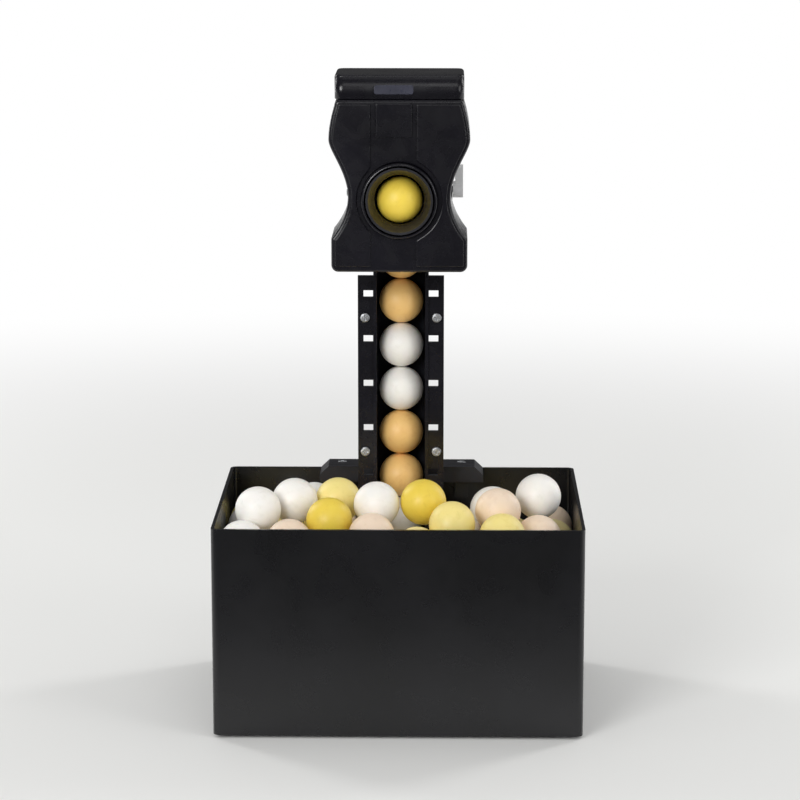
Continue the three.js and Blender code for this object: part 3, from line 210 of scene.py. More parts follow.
def mouldedPlastic(name, look):
    # moulded plastic: two shades mottled together, an uneven gloss, faint handling marks and a fine grain
    material, tree, shader, coords = newMaterial(name)
    broad = addNode(tree, "ShaderNodeTexNoise", {"Scale": perMetre(look["mottle"]), "Detail": 3}, {"Vector": coords})
    share = addNode(tree, "ShaderNodeMapRange", {1: 0.35, 2: 0.65}, {0: broad.outputs[0]})
    tint = addNode(tree, "ShaderNodeMix", {
        "data_type": "RGBA", 6: linear(look["shade"]), 7: linear(look["light"]),
    }, {0: share.outputs[0]})
    tree.links.new(tint.outputs[2], shader.inputs["Base Color"])
    smear = addNode(tree, "ShaderNodeTexNoise", {
        "Scale": perMetre(look["smear"]), "Detail": 5, "Roughness": 0.6, "Distortion": 0.6,
    }, {"Vector": coords})
    uneven = addNode(tree, "ShaderNodeMapRange", {
        1: 0.3, 2: 0.72, 3: look["roughness"] - look["spread"], 4: look["roughness"] + look["spread"],
    }, {0: smear.outputs[0]})
    tree.links.new(uneven.outputs[0], shader.inputs["Roughness"])
    grain = addNode(tree, "ShaderNodeTexNoise", {"Scale": perMetre(look["grain"]), "Detail": 2}, {"Vector": coords})
    wave = addNode(tree, "ShaderNodeTexNoise", {"Scale": perMetre(look["ripple"]), "Detail": 1}, {"Vector": coords})
    slow = addNode(tree, "ShaderNodeBump", {
        "Strength": look["rippleStrength"], "Distance": 2 * fineBump,
    }, {"Height": wave.outputs[0]})
    fine = addNode(tree, "ShaderNodeBump", {
        "Strength": look["grainStrength"], "Distance": fineBump,
    }, {"Height": grain.outputs[0], "Normal": slow.outputs[0]})
    tree.links.new(fine.outputs[0], shader.inputs["Normal"])
    shader.inputs["IOR"].default_value = look.get("ior", 1.53)
    return material


makeFloor(stageLook)
makeWorld(stageLook)
print("stage made")

# mottle, smear, grain and ripple are sizes in millimetres; the roughness goes up and down by the spread. The grain
# of a real moulding, about 0.1 mm, is too fine to show, so it is drawn at 0.6 to 0.9 mm
plasticLooks = {
    # glossy moulded ABS: near-black with a blue cast, soft reflections with a faint orange peel
    "glossyMouldedAbs": {
        "shade": "#0f0e14", "light": "#16151c", "mottle": 60, "smear": 18, "roughness": 0.27, "spread": 0.06,
        "grain": 0.9, "grainStrength": 0.12, "ripple": 9, "rippleStrength": 0.25,
    },
    # satin moulded ABS of the box: neutral black, broader sheen from a fine spark-eroded grain
    "satinMouldedAbs": {
        "shade": "#0f0f11", "light": "#151518", "mottle": 90, "smear": 26, "roughness": 0.29, "spread": 0.035,
        "grain": 0.8, "grainStrength": 0.25, "ripple": 14, "rippleStrength": 0.12,
    },
    # trim in glass-filled nylon: a little lighter and duller than the shells beside it
    "glassFilledNylon": {
        "shade": "#1a1a1f", "light": "#24242a", "mottle": 30, "smear": 9, "roughness": 0.42, "spread": 0.08,
        "grain": 0.7, "grainStrength": 0.5, "ripple": 6, "rippleStrength": 0.1,
    },
    # strip across the top cap's front, lighter than the cap: slate blue-grey, smooth
    "slateStrip": {
        "shade": "#2f303b", "light": "#3c3d4a", "mottle": 22, "smear": 7, "roughness": 0.3, "spread": 0.05,
        "grain": 0.7, "grainStrength": 0.15, "ripple": 6, "rippleStrength": 0.1,
    },
    # grey mechanism plastic: plain mid-dark grey with a matt tooled finish
    "greyAcetal": {
        "shade": "#33353b", "light": "#3f4148", "mottle": 25, "smear": 8, "roughness": 0.48, "spread": 0.06,
        "grain": 0.8, "grainStrength": 0.4, "ripple": 7, "rippleStrength": 0.1,
    },
    # natural nylon of gears and hubs: warm white, waxy
    "naturalNylon": {
        "shade": "#d3cfc4", "light": "#dedbd1", "mottle": 18, "smear": 6, "roughness": 0.5, "spread": 0.06,
        "grain": 0.7, "grainStrength": 0.25, "ripple": 5, "rippleStrength": 0.15,
    },
    # powder coat of the clamp lever: light grey, satin, with a fine orange peel
    "powderCoat": {
        "shade": "#ebecec", "light": "#f3f3f4", "mottle": 20, "smear": 7, "roughness": 0.45, "spread": 0.05,
        "grain": 0.7, "grainStrength": 0.3, "ripple": 4, "rippleStrength": 0.2,
    },
    # plug and switch mouldings: dense black, smooth
    "blackPolycarbonate": {
        "shade": "#0e0e10", "light": "#151518", "mottle": 12, "smear": 5, "roughness": 0.35, "spread": 0.05,
        "grain": 0.6, "grainStrength": 0.2, "ripple": 4, "rippleStrength": 0.1,
    },
    # rubber feet: dead matt black with a dusty bloom
    "nitrileRubber": {
        "shade": "#161616", "light": "#232322", "mottle": 5, "smear": 3, "roughness": 0.82, "spread": 0.08,
        "grain": 0.6, "grainStrength": 0.6, "ripple": 4, "rippleStrength": 0.1, "ior": 1.5,
    },
}
plastics = {name: mouldedPlastic(name, look) for name, look in plasticLooks.items()}


def foamRubber():
    # microcellular rubber tyre: brick red, no gloss, its fine cells drawn 0.9 mm across so that they show
    material, tree, shader, coords = newMaterial("cellularRubber")
    cells = addNode(tree, "ShaderNodeTexVoronoi", {"Scale": perMetre(0.9)}, {"Vector": coords})
    share = addNode(tree, "ShaderNodeMapRange", {1: 0.0, 2: 0.6}, {0: cells.outputs["Distance"]})
    tint = addNode(tree, "ShaderNodeMix", {
        "data_type": "RGBA", 6: linear("#4a1712"), 7: linear("#7a2a20"),
    }, {0: share.outputs[0]})
    tree.links.new(tint.outputs[2], shader.inputs["Base Color"])
    shader.inputs["Roughness"].default_value = 0.9
    bump = addNode(tree, "ShaderNodeBump", {
        "Strength": 0.6, "Distance": 4 * fineBump,
    }, {"Height": cells.outputs["Distance"]})
    tree.links.new(bump.outputs[0], shader.inputs["Normal"])
    return material


def brightMetal(name, hexColour, roughness, stretch):
    # metal with fine tool lines, drawn about 1.2 mm wide so that they show: noise stretched by each axis's share
    # shades the roughness and lifts a shallow bump
    material, tree, shader, coords = newMaterial(name)
    shader.inputs["Metallic"].default_value = 1
    scaled = addNode(tree, "ShaderNodeMapping", {"Scale": stretch}, {"Vector": coords})
    lines = addNode(tree, "ShaderNodeTexNoise", {"Scale": perMetre(1.2), "Detail": 4}, {"Vector": scaled.outputs[0]})
    share = addNode(tree, "ShaderNodeMapRange", {1: 0.4, 2: 0.75, 4: 0.5}, {0: lines.outputs[0]})
    tint = addNode(tree, "ShaderNodeMix", {
        "data_type": "RGBA", 6: linear(hexColour), 7: linear("#8d8f93"),
    }, {0: share.outputs[0]})
    tree.links.new(tint.outputs[2], shader.inputs["Base Color"])
    uneven = addNode(tree, "ShaderNodeMapRange", {
        1: 0.3, 2: 0.7, 3: roughness - 0.06, 4: roughness + 0.1,
    }, {0: lines.outputs[0]})
    tree.links.new(uneven.outputs[0], shader.inputs["Roughness"])
    bump = addNode(tree, "ShaderNodeBump", {"Strength": 0.15, "Distance": fineBump}, {"Height": lines.outputs[0]})
    tree.links.new(bump.outputs[0], shader.inputs["Normal"])
    return material


def lacqueredBoard():
    # circuit board: green solder resist over copper tracks, drawn as bricks 2 mm long
    material, tree, shader, coords = newMaterial("lacqueredFibreglass")
    tracks = addNode(tree, "ShaderNodeTexBrick", {
        "Scale": perMetre(4), "Color1": linear("#1c5a34"), "Color2": linear("#1f663b"),
        "Mortar": linear("#2f7f4c"), "Mortar Size": 0.04,
    }, {"Vector": coords})
    tree.links.new(tracks.outputs["Color"], shader.inputs["Base Color"])
    shader.inputs["Roughness"].default_value = 0.35
    bump = addNode(tree, "ShaderNodeBump", {"Strength": 0.3, "Distance": fineBump}, {"Height": tracks.outputs["Fac"]})
    tree.links.new(bump.outputs[0], shader.inputs["Normal"])
    return material


celluloidLook = {
    "scuff": 7, "scuffShare": 0.6, "smooth": 0.38, "dull": 0.52, "grain": 0.7, "skin": 3, "skinShare": 0.12,
}


def celluloid(name, body, shade, v=celluloidLook):
    # celluloid ball: chalky sheen, light softened a little under the skin, faint dust and scuffs from play, and a
    # fine grain drawn at 0.7 mm so that it shows
    material, tree, shader, coords = newMaterial(name)
    scuffs = addNode(tree, "ShaderNodeTexNoise", {
        "Scale": perMetre(v["scuff"]), "Detail": 6, "Roughness": 0.65, "Distortion": 0.8,
    }, {"Vector": coords})
    share = addNode(tree, "ShaderNodeMapRange", {1: 0.52, 2: 0.8, 4: v["scuffShare"]}, {0: scuffs.outputs[0]})
    tint = addNode(tree, "ShaderNodeMix", {
        "data_type": "RGBA", 6: linear(body), 7: linear(shade),
    }, {0: share.outputs[0]})
    tree.links.new(tint.outputs[2], shader.inputs["Base Color"])
    uneven = addNode(tree, "ShaderNodeMapRange", {
        1: 0.35, 2: 0.7, 3: v["smooth"], 4: v["dull"],
    }, {0: scuffs.outputs[0]})
    tree.links.new(uneven.outputs[0], shader.inputs["Roughness"])
    shader.inputs["IOR"].default_value = 1.5
    shader.inputs["Subsurface Weight"].default_value = v["skinShare"]
    shader.inputs["Subsurface Radius"].default_value = (1, 0.7, 0.45)
    shader.inputs["Subsurface Scale"].default_value = v["skin"] * mm
    grain = addNode(tree, "ShaderNodeTexNoise", {"Scale": perMetre(v["grain"]), "Detail": 2}, {"Vector": coords})
    bump = addNode(tree, "ShaderNodeBump", {"Strength": 0.2, "Distance": fineBump}, {"Height": grain.outputs[0]})
    tree.links.new(bump.outputs[0], shader.inputs["Normal"])
    return material


finishes = {
    "foam": foamRubber(),
    "screw": brightMetal("zincPlatedSteel", "#dddfe2", 0.42, (1, 1, 1)),
    "motor": brightMetal("drawnSteelCan", "#9b9da2", 0.34, (3, 0.3, 0.3)),
    "board": lacqueredBoard(),
}
ballColours = {
    "yellow": celluloid("yellowCelluloid", "#eed14f", "#dcbb3e"),
    "orange": celluloid("orangeCelluloid", "#f7c97e", "#e7b168"),
    "white": celluloid("whiteCelluloid", "#f7f4ee", "#e4e0d8"),
    "cream": celluloid("creamCelluloid", "#efdf9f", "#dcc988"),
    "peach": celluloid("peachCelluloid", "#f2dcc4", "#e0c6ac"),
    "paleYellow": celluloid("paleYellowCelluloid", "#f6e38f", "#e3cd74"),
}
print("materials made:", len(bpy.data.materials))


# Surface helpers

def meshFrom(name, points, faces, material):
    data = bpy.data.meshes.new(name)
    data.from_pydata(np.asarray(points).reshape(-1, 3).tolist(), [], faces)
    data.polygons.foreach_set("use_smooth", np.ones(len(data.polygons), bool))
    data.materials.append(material)
    data.update()
    piece = bpy.data.objects.new(name, data)
    scene.collection.objects.link(piece)
    return piece


def gridFaces(rows, columns, closeRows):
    # quads between neighbours of a rows x columns grid that closes along its rows, and also across them if asked
    r = np.arange(rows if closeRows else rows - 1)
    r, c = np.meshgrid(r, np.arange(columns), indexing="ij")
    r2, c2 = (r + 1) % rows, (c + 1) % columns
    quads = np.stack([r * columns + c, r * columns + c2, r2 * columns + c2, r2 * columns + c], axis=-1)
    return quads.reshape(-1, 4).tolist()


def facingOut(piece):
    # turns neighbouring faces the same way round, and all of them where the closed mesh's volume is negative
    data = piece.data
    work = bmesh.new()
    work.from_mesh(data)
    bmesh.ops.recalc_face_normals(work, faces=work.faces)
    work.to_mesh(data)
    work.free()
    data.calc_loop_triangles()
    corners = np.zeros(len(data.vertices) * 3)
    data.vertices.foreach_get("co", corners)
    triangles = np.zeros(len(data.loop_triangles) * 3, dtype=int)
    data.loop_triangles.foreach_get("vertices", triangles)
    a, b, c = corners.reshape(-1, 3)[triangles.reshape(-1, 3)].transpose(1, 0, 2)
    if np.einsum("ij,ij->i", a, np.cross(b, c)).sum() < 0:
        data.flip_normals()
    return piece


def fillet(corners, radii, steps=5):
    # each corner of a closed line becomes an arc tangent to both its edges, at most 45% of either edge along it
    corners = [np.array(corner, float) for corner in corners]
    out = []
    for i, (corner, radius) in enumerate(zip(corners, np.broadcast_to(radii, len(corners)))):
        if radius == 0:
            out.append(corner)
            continue
        before = corners[i - 1] - corner
        after = corners[(i + 1) % len(corners)] - corner
        lengthBefore, lengthAfter = np.linalg.norm(before), np.linalg.norm(after)
        before, after = before / lengthBefore, after / lengthAfter
        half = math.acos(np.clip(before @ after, -1, 1)) / 2
        reach = min(radius / math.tan(half), 0.45 * lengthBefore, 0.45 * lengthAfter)
        start, end = corner + before * reach, corner + after * reach
        centre = corner + (before + after) / np.linalg.norm(before + after) * reach / math.cos(half)
        t = np.linspace(0, 1, steps + 1)[:, None]
        blend = start + (end - start) * t - centre
        arc = centre + blend / np.linalg.norm(blend, axis=1, keepdims=True) * np.linalg.norm(start - centre)
        out.extend(arc)
    return np.array(out)


def outwardNormals(outline):
    # mean of the two edge normals at each point of a closed counter-clockwise outline
    ahead = np.roll(outline, -1, axis=0) - outline
    behind = outline - np.roll(outline, 1, axis=0)
    turn = np.array([[0, -1], [1, 0]])
    first = ahead / np.linalg.norm(ahead, axis=1, keepdims=True) @ turn
    second = behind / np.linalg.norm(behind, axis=1, keepdims=True) @ turn
    total = first + second
    total /= np.linalg.norm(total, axis=1, keepdims=True)
    return total / np.maximum((total * first).sum(1, keepdims=True), 0.5)


def evenly(outline, count):
    # the closed outline again, with points at equal steps of its length
    looped = np.vstack([outline, outline[:1]])
    travelled = np.concatenate([[0], np.cumsum(np.linalg.norm(np.diff(looped, axis=0), axis=1))])
    at = np.linspace(0, travelled[-1], count, endpoint=False)
    return np.stack([np.interp(at, travelled, looped[:, k]) for k in (0, 1)], axis=1)


def filled(outline):
    # triangles that fill a closed outline, each turned counter-clockwise by the sign of its area
    corners = [Vector((x, y, 0)) for x, y in outline.tolist()]
    triangles = np.array(tessellate_polygon([corners]))
    a, b, c = outline[triangles].transpose(1, 0, 2)
    area = (b[:, 0] - a[:, 0]) * (c[:, 1] - a[:, 1]) - (b[:, 1] - a[:, 1]) * (c[:, 0] - a[:, 0])
    triangles[area < 0] = triangles[area < 0][:, ::-1]
    return triangles[area != 0]


def slab(name, outline, front, v, material):
    # an outline of (x, z) stretched along y, from the rise in front of a face to the sink behind it; its rim rolls
    # over the front by a quarter circle of the edge's radius, and over the hidden back by a very small one
    turned = outline[::-1, ::-1] * mm
    frontEdge, backEdge = v["edge"] * mm, 0.05 * mm
    angles = np.linspace(0, math.pi / 2, 5)
    inset = np.concatenate([frontEdge * (1 - np.sin(angles)), backEdge * (1 - np.cos(angles))])
    y = np.concatenate([(front - v["rise"]) * mm + frontEdge * (1 - np.cos(angles)),
                        (front + v["sink"]) * mm - backEdge * (1 - np.sin(angles))])
    across = turned[None] - outwardNormals(turned)[None] * inset[:, None, None]
    points = np.stack([across[..., 1], y[:, None] + 0 * across[..., 0], across[..., 0]], axis=-1)
    rows, columns = points.shape[:2]
    frontCap, backCap = filled(across[0]), filled(across[-1]) + (rows - 1) * columns
    faces = gridFaces(rows, columns, False)
    flags = np.arange(len(faces) + len(frontCap) + len(backCap)) < len(faces)
    faces += frontCap.tolist() + backCap[:, ::-1].tolist()
    piece = meshFrom(name, points, faces, material)
    piece.data.polygons.foreach_set("use_smooth", flags)
    return facingOut(piece)


def rectangle(v):
    # corners in the order right, up and back left
    return [(v["left"], v["low"]), (v["right"], v["low"]), (v["right"], v["high"]), (v["left"], v["high"])]


def dress(piece, body, slot, *replaced):
    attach(piece, body)
    if replaced:
        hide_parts(*replaced)
    return piece


# CAD parts that keep their shape: welded, edges broken, faces shaded smooth up to a limit

smoothUpTo = math.radians(38)  # faces that meet at less than this are shaded as one


def finishPart(name, material, edge):
    part = nodes[name]
    for slot in part.material_slots:
        slot.material = material
    part.data.polygons.foreach_set("use_smooth", np.ones(len(part.data.polygons), bool))
    weld = part.modifiers.new("weld", "WELD")
    weld.merge_threshold = 0.005 * mm
    if edge:
        bevel = part.modifiers.new("edges", "BEVEL")
        bevel.width = edge * mm
        bevel.segments = 2
        bevel.limit_method = "ANGLE"
        bevel.angle_limit = smoothUpTo
        bevel.harden_normals = True
        bevel.use_clamp_overlap = True
    split = part.modifiers.new("sharp", "EDGE_SPLIT")
    split.split_angle = smoothUpTo
    split.use_edge_sharp = False
    if edge:
        flat = part.modifiers.new("flat", "WEIGHTED_NORMAL")
        flat.mode = "FACE_AREA"
        flat.weight = 100
        flat.keep_sharp = True


partFinishes = {
    # node: finish, broken edge in millimetres
    "ball_box": ("satinMouldedAbs", 0.9),
    "bottom_cover": ("greyAcetal", 0.5),
    "hopper_floor": ("satinMouldedAbs", 0.5),
    "feed_race": ("greyAcetal", 0.4),
    "feed_wheel": ("naturalNylon", 0.4),
    "column_trough": ("glassFilledNylon", 0.4),
    "column_face": ("glossyMouldedAbs", 0.4),
    "rim_saddle": ("glassFilledNylon", 0.5),
    "turret_plate": ("greyAcetal", 0.4),
    "turret_gear": ("naturalNylon", 0.2),
    "turret_yoke": ("glassFilledNylon", 0.5),
    "tilt_cradle": ("greyAcetal", 0.4),
    "spin_lock_knob": ("glassFilledNylon", 0.4),
    "tilt_lock_lever": ("powderCoat", 0.6),
    "elbow_duct": ("glassFilledNylon", 0.3),
    "nozzle_barrel": ("glassFilledNylon", 0.2),
    "inlet_spigot": ("greyAcetal", 0.3),
    "upper_wheel_hub": ("naturalNylon", 0.3),
    "lower_wheel_hub": ("naturalNylon", 0.3),
    "power_socket": ("blackPolycarbonate", 0.2),
    "control_socket": ("blackPolycarbonate", 0.2),
    "switch_frame": ("blackPolycarbonate", 0.2),
    "switch_rocker": ("blackPolycarbonate", 0.3),
    **{f"foot_{k}": ("nitrileRubber", 0.5) for k in (1, 2, 3, 4)},
}
for name, (finish, edge) in partFinishes.items():
    finishPart(name, plastics[finish], edge)
mechanismFinishes = {
    "feed_axle": ("screw", 0.2), "feed_gearmotor": ("motor", 0.3), "sweep_gearmotor": ("motor", 0.3),
    "upper_motor": ("motor", 0.3), "lower_motor": ("motor", 0.3), "sweep_pinion": ("screw", 0.1),
    "tilt_pin": ("screw", 0.3), "spigot_clip": ("screw", 0.2),
    "upper_wheel_tyre": ("foam", 0), "lower_wheel_tyre": ("foam", 0), "circuit_board": ("board", 0.1),
}
for name, (finish, edge) in mechanismFinishes.items():
    finishPart(name, finishes[finish], edge)
print("CAD parts finished")


# Screws: pan heads with a crossed recess

screwLook = {
    "sides": 40, "head": 2.4, "dome": 0.5, "domeEdge": 0.88, "domeRings": 26,
    "recessLong": 2.6, "recessWide": 0.62, "recessDeep": 1.1, "endSlope": 0.25, "sideSlope": 0.2,
}


def panScrew(name, node, out, axis, v=screwLook):
    # the head's and shank's profile turned round the screw's axis, its dome lowered by the square of the radius; the
    # recess is a plus-shaped dent where |u| or |w| is under its half width and both are under its reach
    low, high = [np.array(corner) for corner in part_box(node)]
    k = "xyz".index(axis)
    centre = (low + high) / 2
    across = [i for i in range(3) if i != k]
    radius = (high - low)[across].min() / 2
    top, bottom = (high[k], low[k]) if out > 0 else (low[k], high[k])
    seat = top - out * v["head"] * mm
    dome = np.linspace(0, v["domeEdge"], v["domeRings"])
    shankEnd = 0.3 - abs(seat - bottom) / mm
    # dome, rim, seat and shank: shares of the radius, and heights over the seat in millimetres
    r = np.concatenate([dome, [0.95, 0.99, 1.0, 0.99, 0.45, 0.42]]) * radius
    rise = np.concatenate([v["head"] - v["dome"] * dome ** 2, [1.75, 1.4, 0.8, 0.0, 0.0, shankEnd]])
    a = np.linspace(0, 2 * math.pi, v["sides"], endpoint=False)
    u, w = r[:, None] * np.cos(a), r[:, None] * np.sin(a)
    along = np.repeat((seat + out * rise * mm)[:, None], len(a), axis=1)
    reach, half, end, side = [v[key] * mm for key in ("recessLong", "recessWide", "endSlope", "sideSlope")]
    inU = np.clip((reach - abs(u)) / end, 0, 1) * np.clip((half - abs(w)) / side + 0.5, 0, 1)
    inW = np.clip((reach - abs(w)) / end, 0, 1) * np.clip((half - abs(u)) / side + 0.5, 0, 1)
    dent = np.maximum(inU, inW) * (np.arange(len(r)) < v["domeRings"])[:, None]
    along = along - out * dent * v["recessDeep"] * mm
    parts = [None, None, None]
    parts[k] = along
    parts[across[0]], parts[across[1]] = centre[across[0]] + u, centre[across[1]] + w
    points = np.stack(parts, axis=-1)[1:]
    rows, columns = points.shape[:2]
    faces = gridFaces(rows, columns, False)
    faces.append(list(range(columns)))
    faces.append(list(range((rows - 1) * columns, rows * columns))[::-1])
    piece = facingOut(meshFrom(name, points, faces, finishes["screw"]))
    return dress(piece, "base", "screw_steel", node)


for k in (1, 2, 3, 4):
    panScrew(f"column_pan_screw_{k}", f"column_screw_{k}", -1, "y")
panScrew("saddle_pan_screw_left", "saddle_screw_left", 1, "z")
panScrew("saddle_pan_screw_right", "saddle_screw_right", 1, "z")
print("screws made")


# Casing of the head: smooth outline, rounded edges, hollow halves that meet at the parting line

casing = {
    # aim is the launching line's x and z; below, lowerDrop, waistRise, upperRise and above are heights from it, and
    # lower, waist, upper and top the half widths at the lobes, the waist and the top
    "aim": (0.0, 455.0), "below": 62, "above": 86, "corner": 6, "topCorner": 4.4,
    "lower": 58.5, "lowerDrop": 33, "waist": 44.1, "waistRise": 3, "upper": 60.5, "upperRise": 52, "top": 55.2,
    "front": -40, "split": -5, "rear": 30, "seamGap": 0.3, "wall": 2.5, "edge": 3, "lip": 0.5,
    "nozzleHole": 32.8, "inletHole": 34.3, "points": 480,
}


def bezier(p0, p1, p2, p3, steps=40):
    # the four points weighted by (1 - t)^3, 3 (1 - t)^2 t, 3 (1 - t) t^2 and t^3
    t = np.linspace(0, 1, steps + 1)[:, None]
    p0, p1, p2, p3 = [np.array(p, float) for p in (p0, p1, p2, p3)]
    return (1 - t) ** 3 * p0 + 3 * (1 - t) ** 2 * t * p1 + 3 * (1 - t) * t ** 2 * p2 + t ** 3 * p3


def casingOutline(v):
    # right edge: corner arc, straight side, three cubics (lobe to waist, waist to lobe, lobe to top), mirrored
    a = np.linspace(-math.pi / 2, 0, 12)[:, None]
    cornerCentre = np.array([v["lower"] - v["corner"], v["corner"] - v["below"]])
    corner = cornerCentre + v["corner"] * np.hstack([np.cos(a), np.sin(a)])
    bend, lobe = v["lowerDrop"] + v["waistRise"], v["upperRise"] - v["waistRise"]
    top = v["above"] - v["upperRise"]
    low = bezier((v["lower"], -v["lowerDrop"]),
                 (v["lower"] - 0.45 * (v["lower"] - v["waist"]), -v["lowerDrop"] + 0.22 * bend),
                 (v["waist"], v["waistRise"] - 0.42 * bend), (v["waist"], v["waistRise"]))
    high = bezier((v["waist"], v["waistRise"]), (v["waist"], v["waistRise"] + 0.43 * lobe),
                  (v["upper"], v["upperRise"] - 0.2 * lobe), (v["upper"], v["upperRise"]))
    end = np.array([v["top"], v["above"]])
    step = v["upper"] - v["top"]
    last = bezier((v["upper"], v["upperRise"]), (v["upper"], v["upperRise"] + 0.3 * top),
                  (v["top"] + 0.43 * step, v["above"] - 0.35 * top), end - [0, v["topCorner"]])
    turn = bezier(end - [0, v["topCorner"]], end - [0, 0.4 * v["topCorner"]], end - [0.4 * v["topCorner"], 0],
                    end - [v["topCorner"], 0], 6)
    right = np.vstack([corner, low, high[1:], last[1:], turn[1:]])
    return evenly(np.vstack([right, right[::-1] * [-1, 1]]), v["points"])


def casingHalf(name, v, out, hole, node):
    # profile at each point of the outline: hole edge, face, rolled edge, side wall, parting lip, and back inside;
    # out is -1 for the front half and 1 for the rear one
    outline = casingOutline(v)
    inwards = -outwardNormals(outline)
    face = v["front"] if out < 0 else v["rear"]
    inner = face - out * v["wall"]
    seam = v["split"] if out < 0 else v["split"] + v["seamGap"]
    bend = np.linspace(0, math.pi / 2, 9)
    rows = []  # (share towards the hole, inset, y)
    for share in (1, 0.985, 0.965, 0.6, 0.25, 0.06):
        rows.append((share, v["edge"] + 0.4, face - out * (0.35 if share == 1 else 0)))
    rows += [(0, v["edge"] * (1 - math.sin(b)), face - out * v["edge"] * (1 - math.cos(b))) for b in bend]
    rows += [(0, 0, seam + out * 3 * v["lip"]), (0, 0, seam + out * v["lip"]), (0, v["lip"], seam),
             (0, v["wall"], seam), (0, v["wall"], inner - out * 2), (0, v["wall"] + 2, inner),
             (0.5, v["wall"] + 2, inner), (1, v["wall"] + 2, inner)]
    angle = np.arctan2(outline[:, 1], outline[:, 0])
    circle = hole * np.stack([np.cos(angle), np.sin(angle)], axis=1)
    share = np.array([r[0] for r in rows])[:, None, None]
    inset = np.array([r[1] for r in rows])[:, None, None]
    y = np.array([r[2] for r in rows])[:, None] + 0 * outline[None, :, 0]
    flat = (outline + inwards * inset) * (1 - share) + circle * share
    points = np.stack([v["aim"][0] + flat[..., 0], y, v["aim"][1] + flat[..., 1]], axis=-1) * mm
    piece = meshFrom(name, points, gridFaces(*points.shape[:2], True), plastics["glossyMouldedAbs"])
    return dress(facingOut(piece), "head", "casing_black", node)


casingHalf("casing_front", casing, -1, casing["nozzleHole"], "head_front_shell")
casingHalf("casing_rear", casing, 1, casing["inletHole"], "head_rear_shell")


def sidePanel(v, side):
    # between two heights: outer edge inset from the casing's outline; inner edge at the larger of inner and
    # sqrt(clear^2 - z^2), the corner between the two softened
    outline = casingOutline(casing)
    shrunk = outline - outwardNormals(outline) * v["inset"]
    right = shrunk[:len(shrunk) // 2]
    z = np.linspace(v["low"], v["high"], 120)
    rising = np.maximum.accumulate(right[:, 1]) == right[:, 1]
    outer = np.interp(z, right[rising, 1], right[rising, 0])
    bow = np.sqrt(np.maximum(v["clear"] ** 2 - z ** 2, 0))
    inner = v["soft"] * np.logaddexp(v["inner"] / v["soft"], bow / v["soft"])
    loop = np.vstack([np.stack([outer, z], axis=1), np.stack([inner, z], axis=1)[::-1]])
    radii = np.zeros(len(loop))
    radii[[0, len(z) - 1, len(z), -1]] = v["corner"]
    loop = evenly(fillet(loop, radii), 400)
    return loop if side > 0 else loop[::-1] * [-1, 1]


def facePanel(name, outline, v):
    # drawn in x and z about the launching line
    placed = outline + np.array(casing["aim"])
    piece = slab(name, placed, casing["front"], v, plastics["glossyMouldedAbs"])
    return dress(piece, "head", "casing_black")


panelLook = {
    "inset": 3.2, "clear": 36.5, "soft": 1.2, "corner": 1.5, "low": -57, "high": 82.5,
    "rise": 1.4, "sink": 0.6, "edge": 1.1,
}
browLook = {
    "left": -20.5, "right": 11, "low": 54, "high": 83.5, "rise": 1.6, "sink": 0.6, "edge": 1.2, "corner": 2,
}
for side, label, inner in ((1, "right", 14.5), (-1, "left", 24.5)):
    facePanel(f"face_panel_{label}", sidePanel({**panelLook, "inner": inner}, side), panelLook)
facePanel("brow_panel", evenly(fillet(rectangle(browLook), browLook["corner"], 6), 200), browLook)


topCap = {
    "half": 55.2, "front": -38, "rear": 28, "corner": 7, "low": 541.3, "high": 562.8, "edge": 2.5, "wall": 3,
    "crown": 0.4,
}
stripLook = {
    "left": -21.5, "right": 12, "low": 545.6, "high": 553.4, "rise": 0.45, "sink": 0.5, "edge": 0.4, "corner": 2,
}


def capShell(v):
    # rounded rectangle carried up the inside, under the wall, up the outside and over the rolled edge to the crown
    depth = (v["rear"] - v["front"]) / 2
    middle = np.array([0, (v["rear"] + v["front"]) / 2])
    sides = {"left": -v["half"], "right": v["half"], "low": -depth, "high": depth}
    outline = evenly(fillet(rectangle(sides), v["corner"], 10), 360) + middle
    inwards = -outwardNormals(outline)
    wall, low, high, edge, crown = [v[key] for key in ("wall", "low", "high", "edge", "crown")]
    rows = [(0, wall, high - wall), (0, wall, low), (0, 0.4, low), (0, 0, low + 0.4), (0, 0, high - edge - crown)]
    rows += [(0, edge * (1 - math.cos(b)), high - crown - edge * (1 - math.sin(b)))
             for b in np.linspace(0, math.pi / 2, 9)]
    rows += [(s, edge, high - crown * (1 - s) ** 2) for s in (0.1, 0.35, 0.7, 0.97)]
    share = np.array([r[0] for r in rows])[:, None, None]
    inset = np.array([r[1] for r in rows])[:, None, None]
    flat = (outline + inwards * inset) * (1 - share) + middle * share
    z = np.array([r[2] for r in rows])[:, None] + 0 * outline[None, :, 0]
    points = np.stack([flat[..., 0], flat[..., 1], z], axis=-1) * mm
    rowCount, columns = points.shape[:2]
    faces = gridFaces(rowCount, columns, False)
    faces.append(list(range(columns))[::-1])
    faces.append(list(range((rowCount - 1) * columns, rowCount * columns)))
    piece = facingOut(meshFrom("top_cap", points, faces, plastics["glossyMouldedAbs"]))
    return dress(piece, "head", "casing_black", "head_top_cap")


def capStrip(v, front):
    # a rounded slip on the cap's front side
    outline = evenly(fillet(rectangle(v), v["corner"], 6), 160)
    piece = slab("cap_strip", outline, front, v, plastics["slateStrip"])
    return dress(piece, "head", "trim_black")


capShell(topCap)
capStrip(stripLook, topCap["front"])

nozzle = {
    "outer": 32.62, "front": -46.0, "mouth": 26.7, "throat": 21.45, "depth": 12, "end": -24, "seat": -39.6,
    "sides": 160,
}


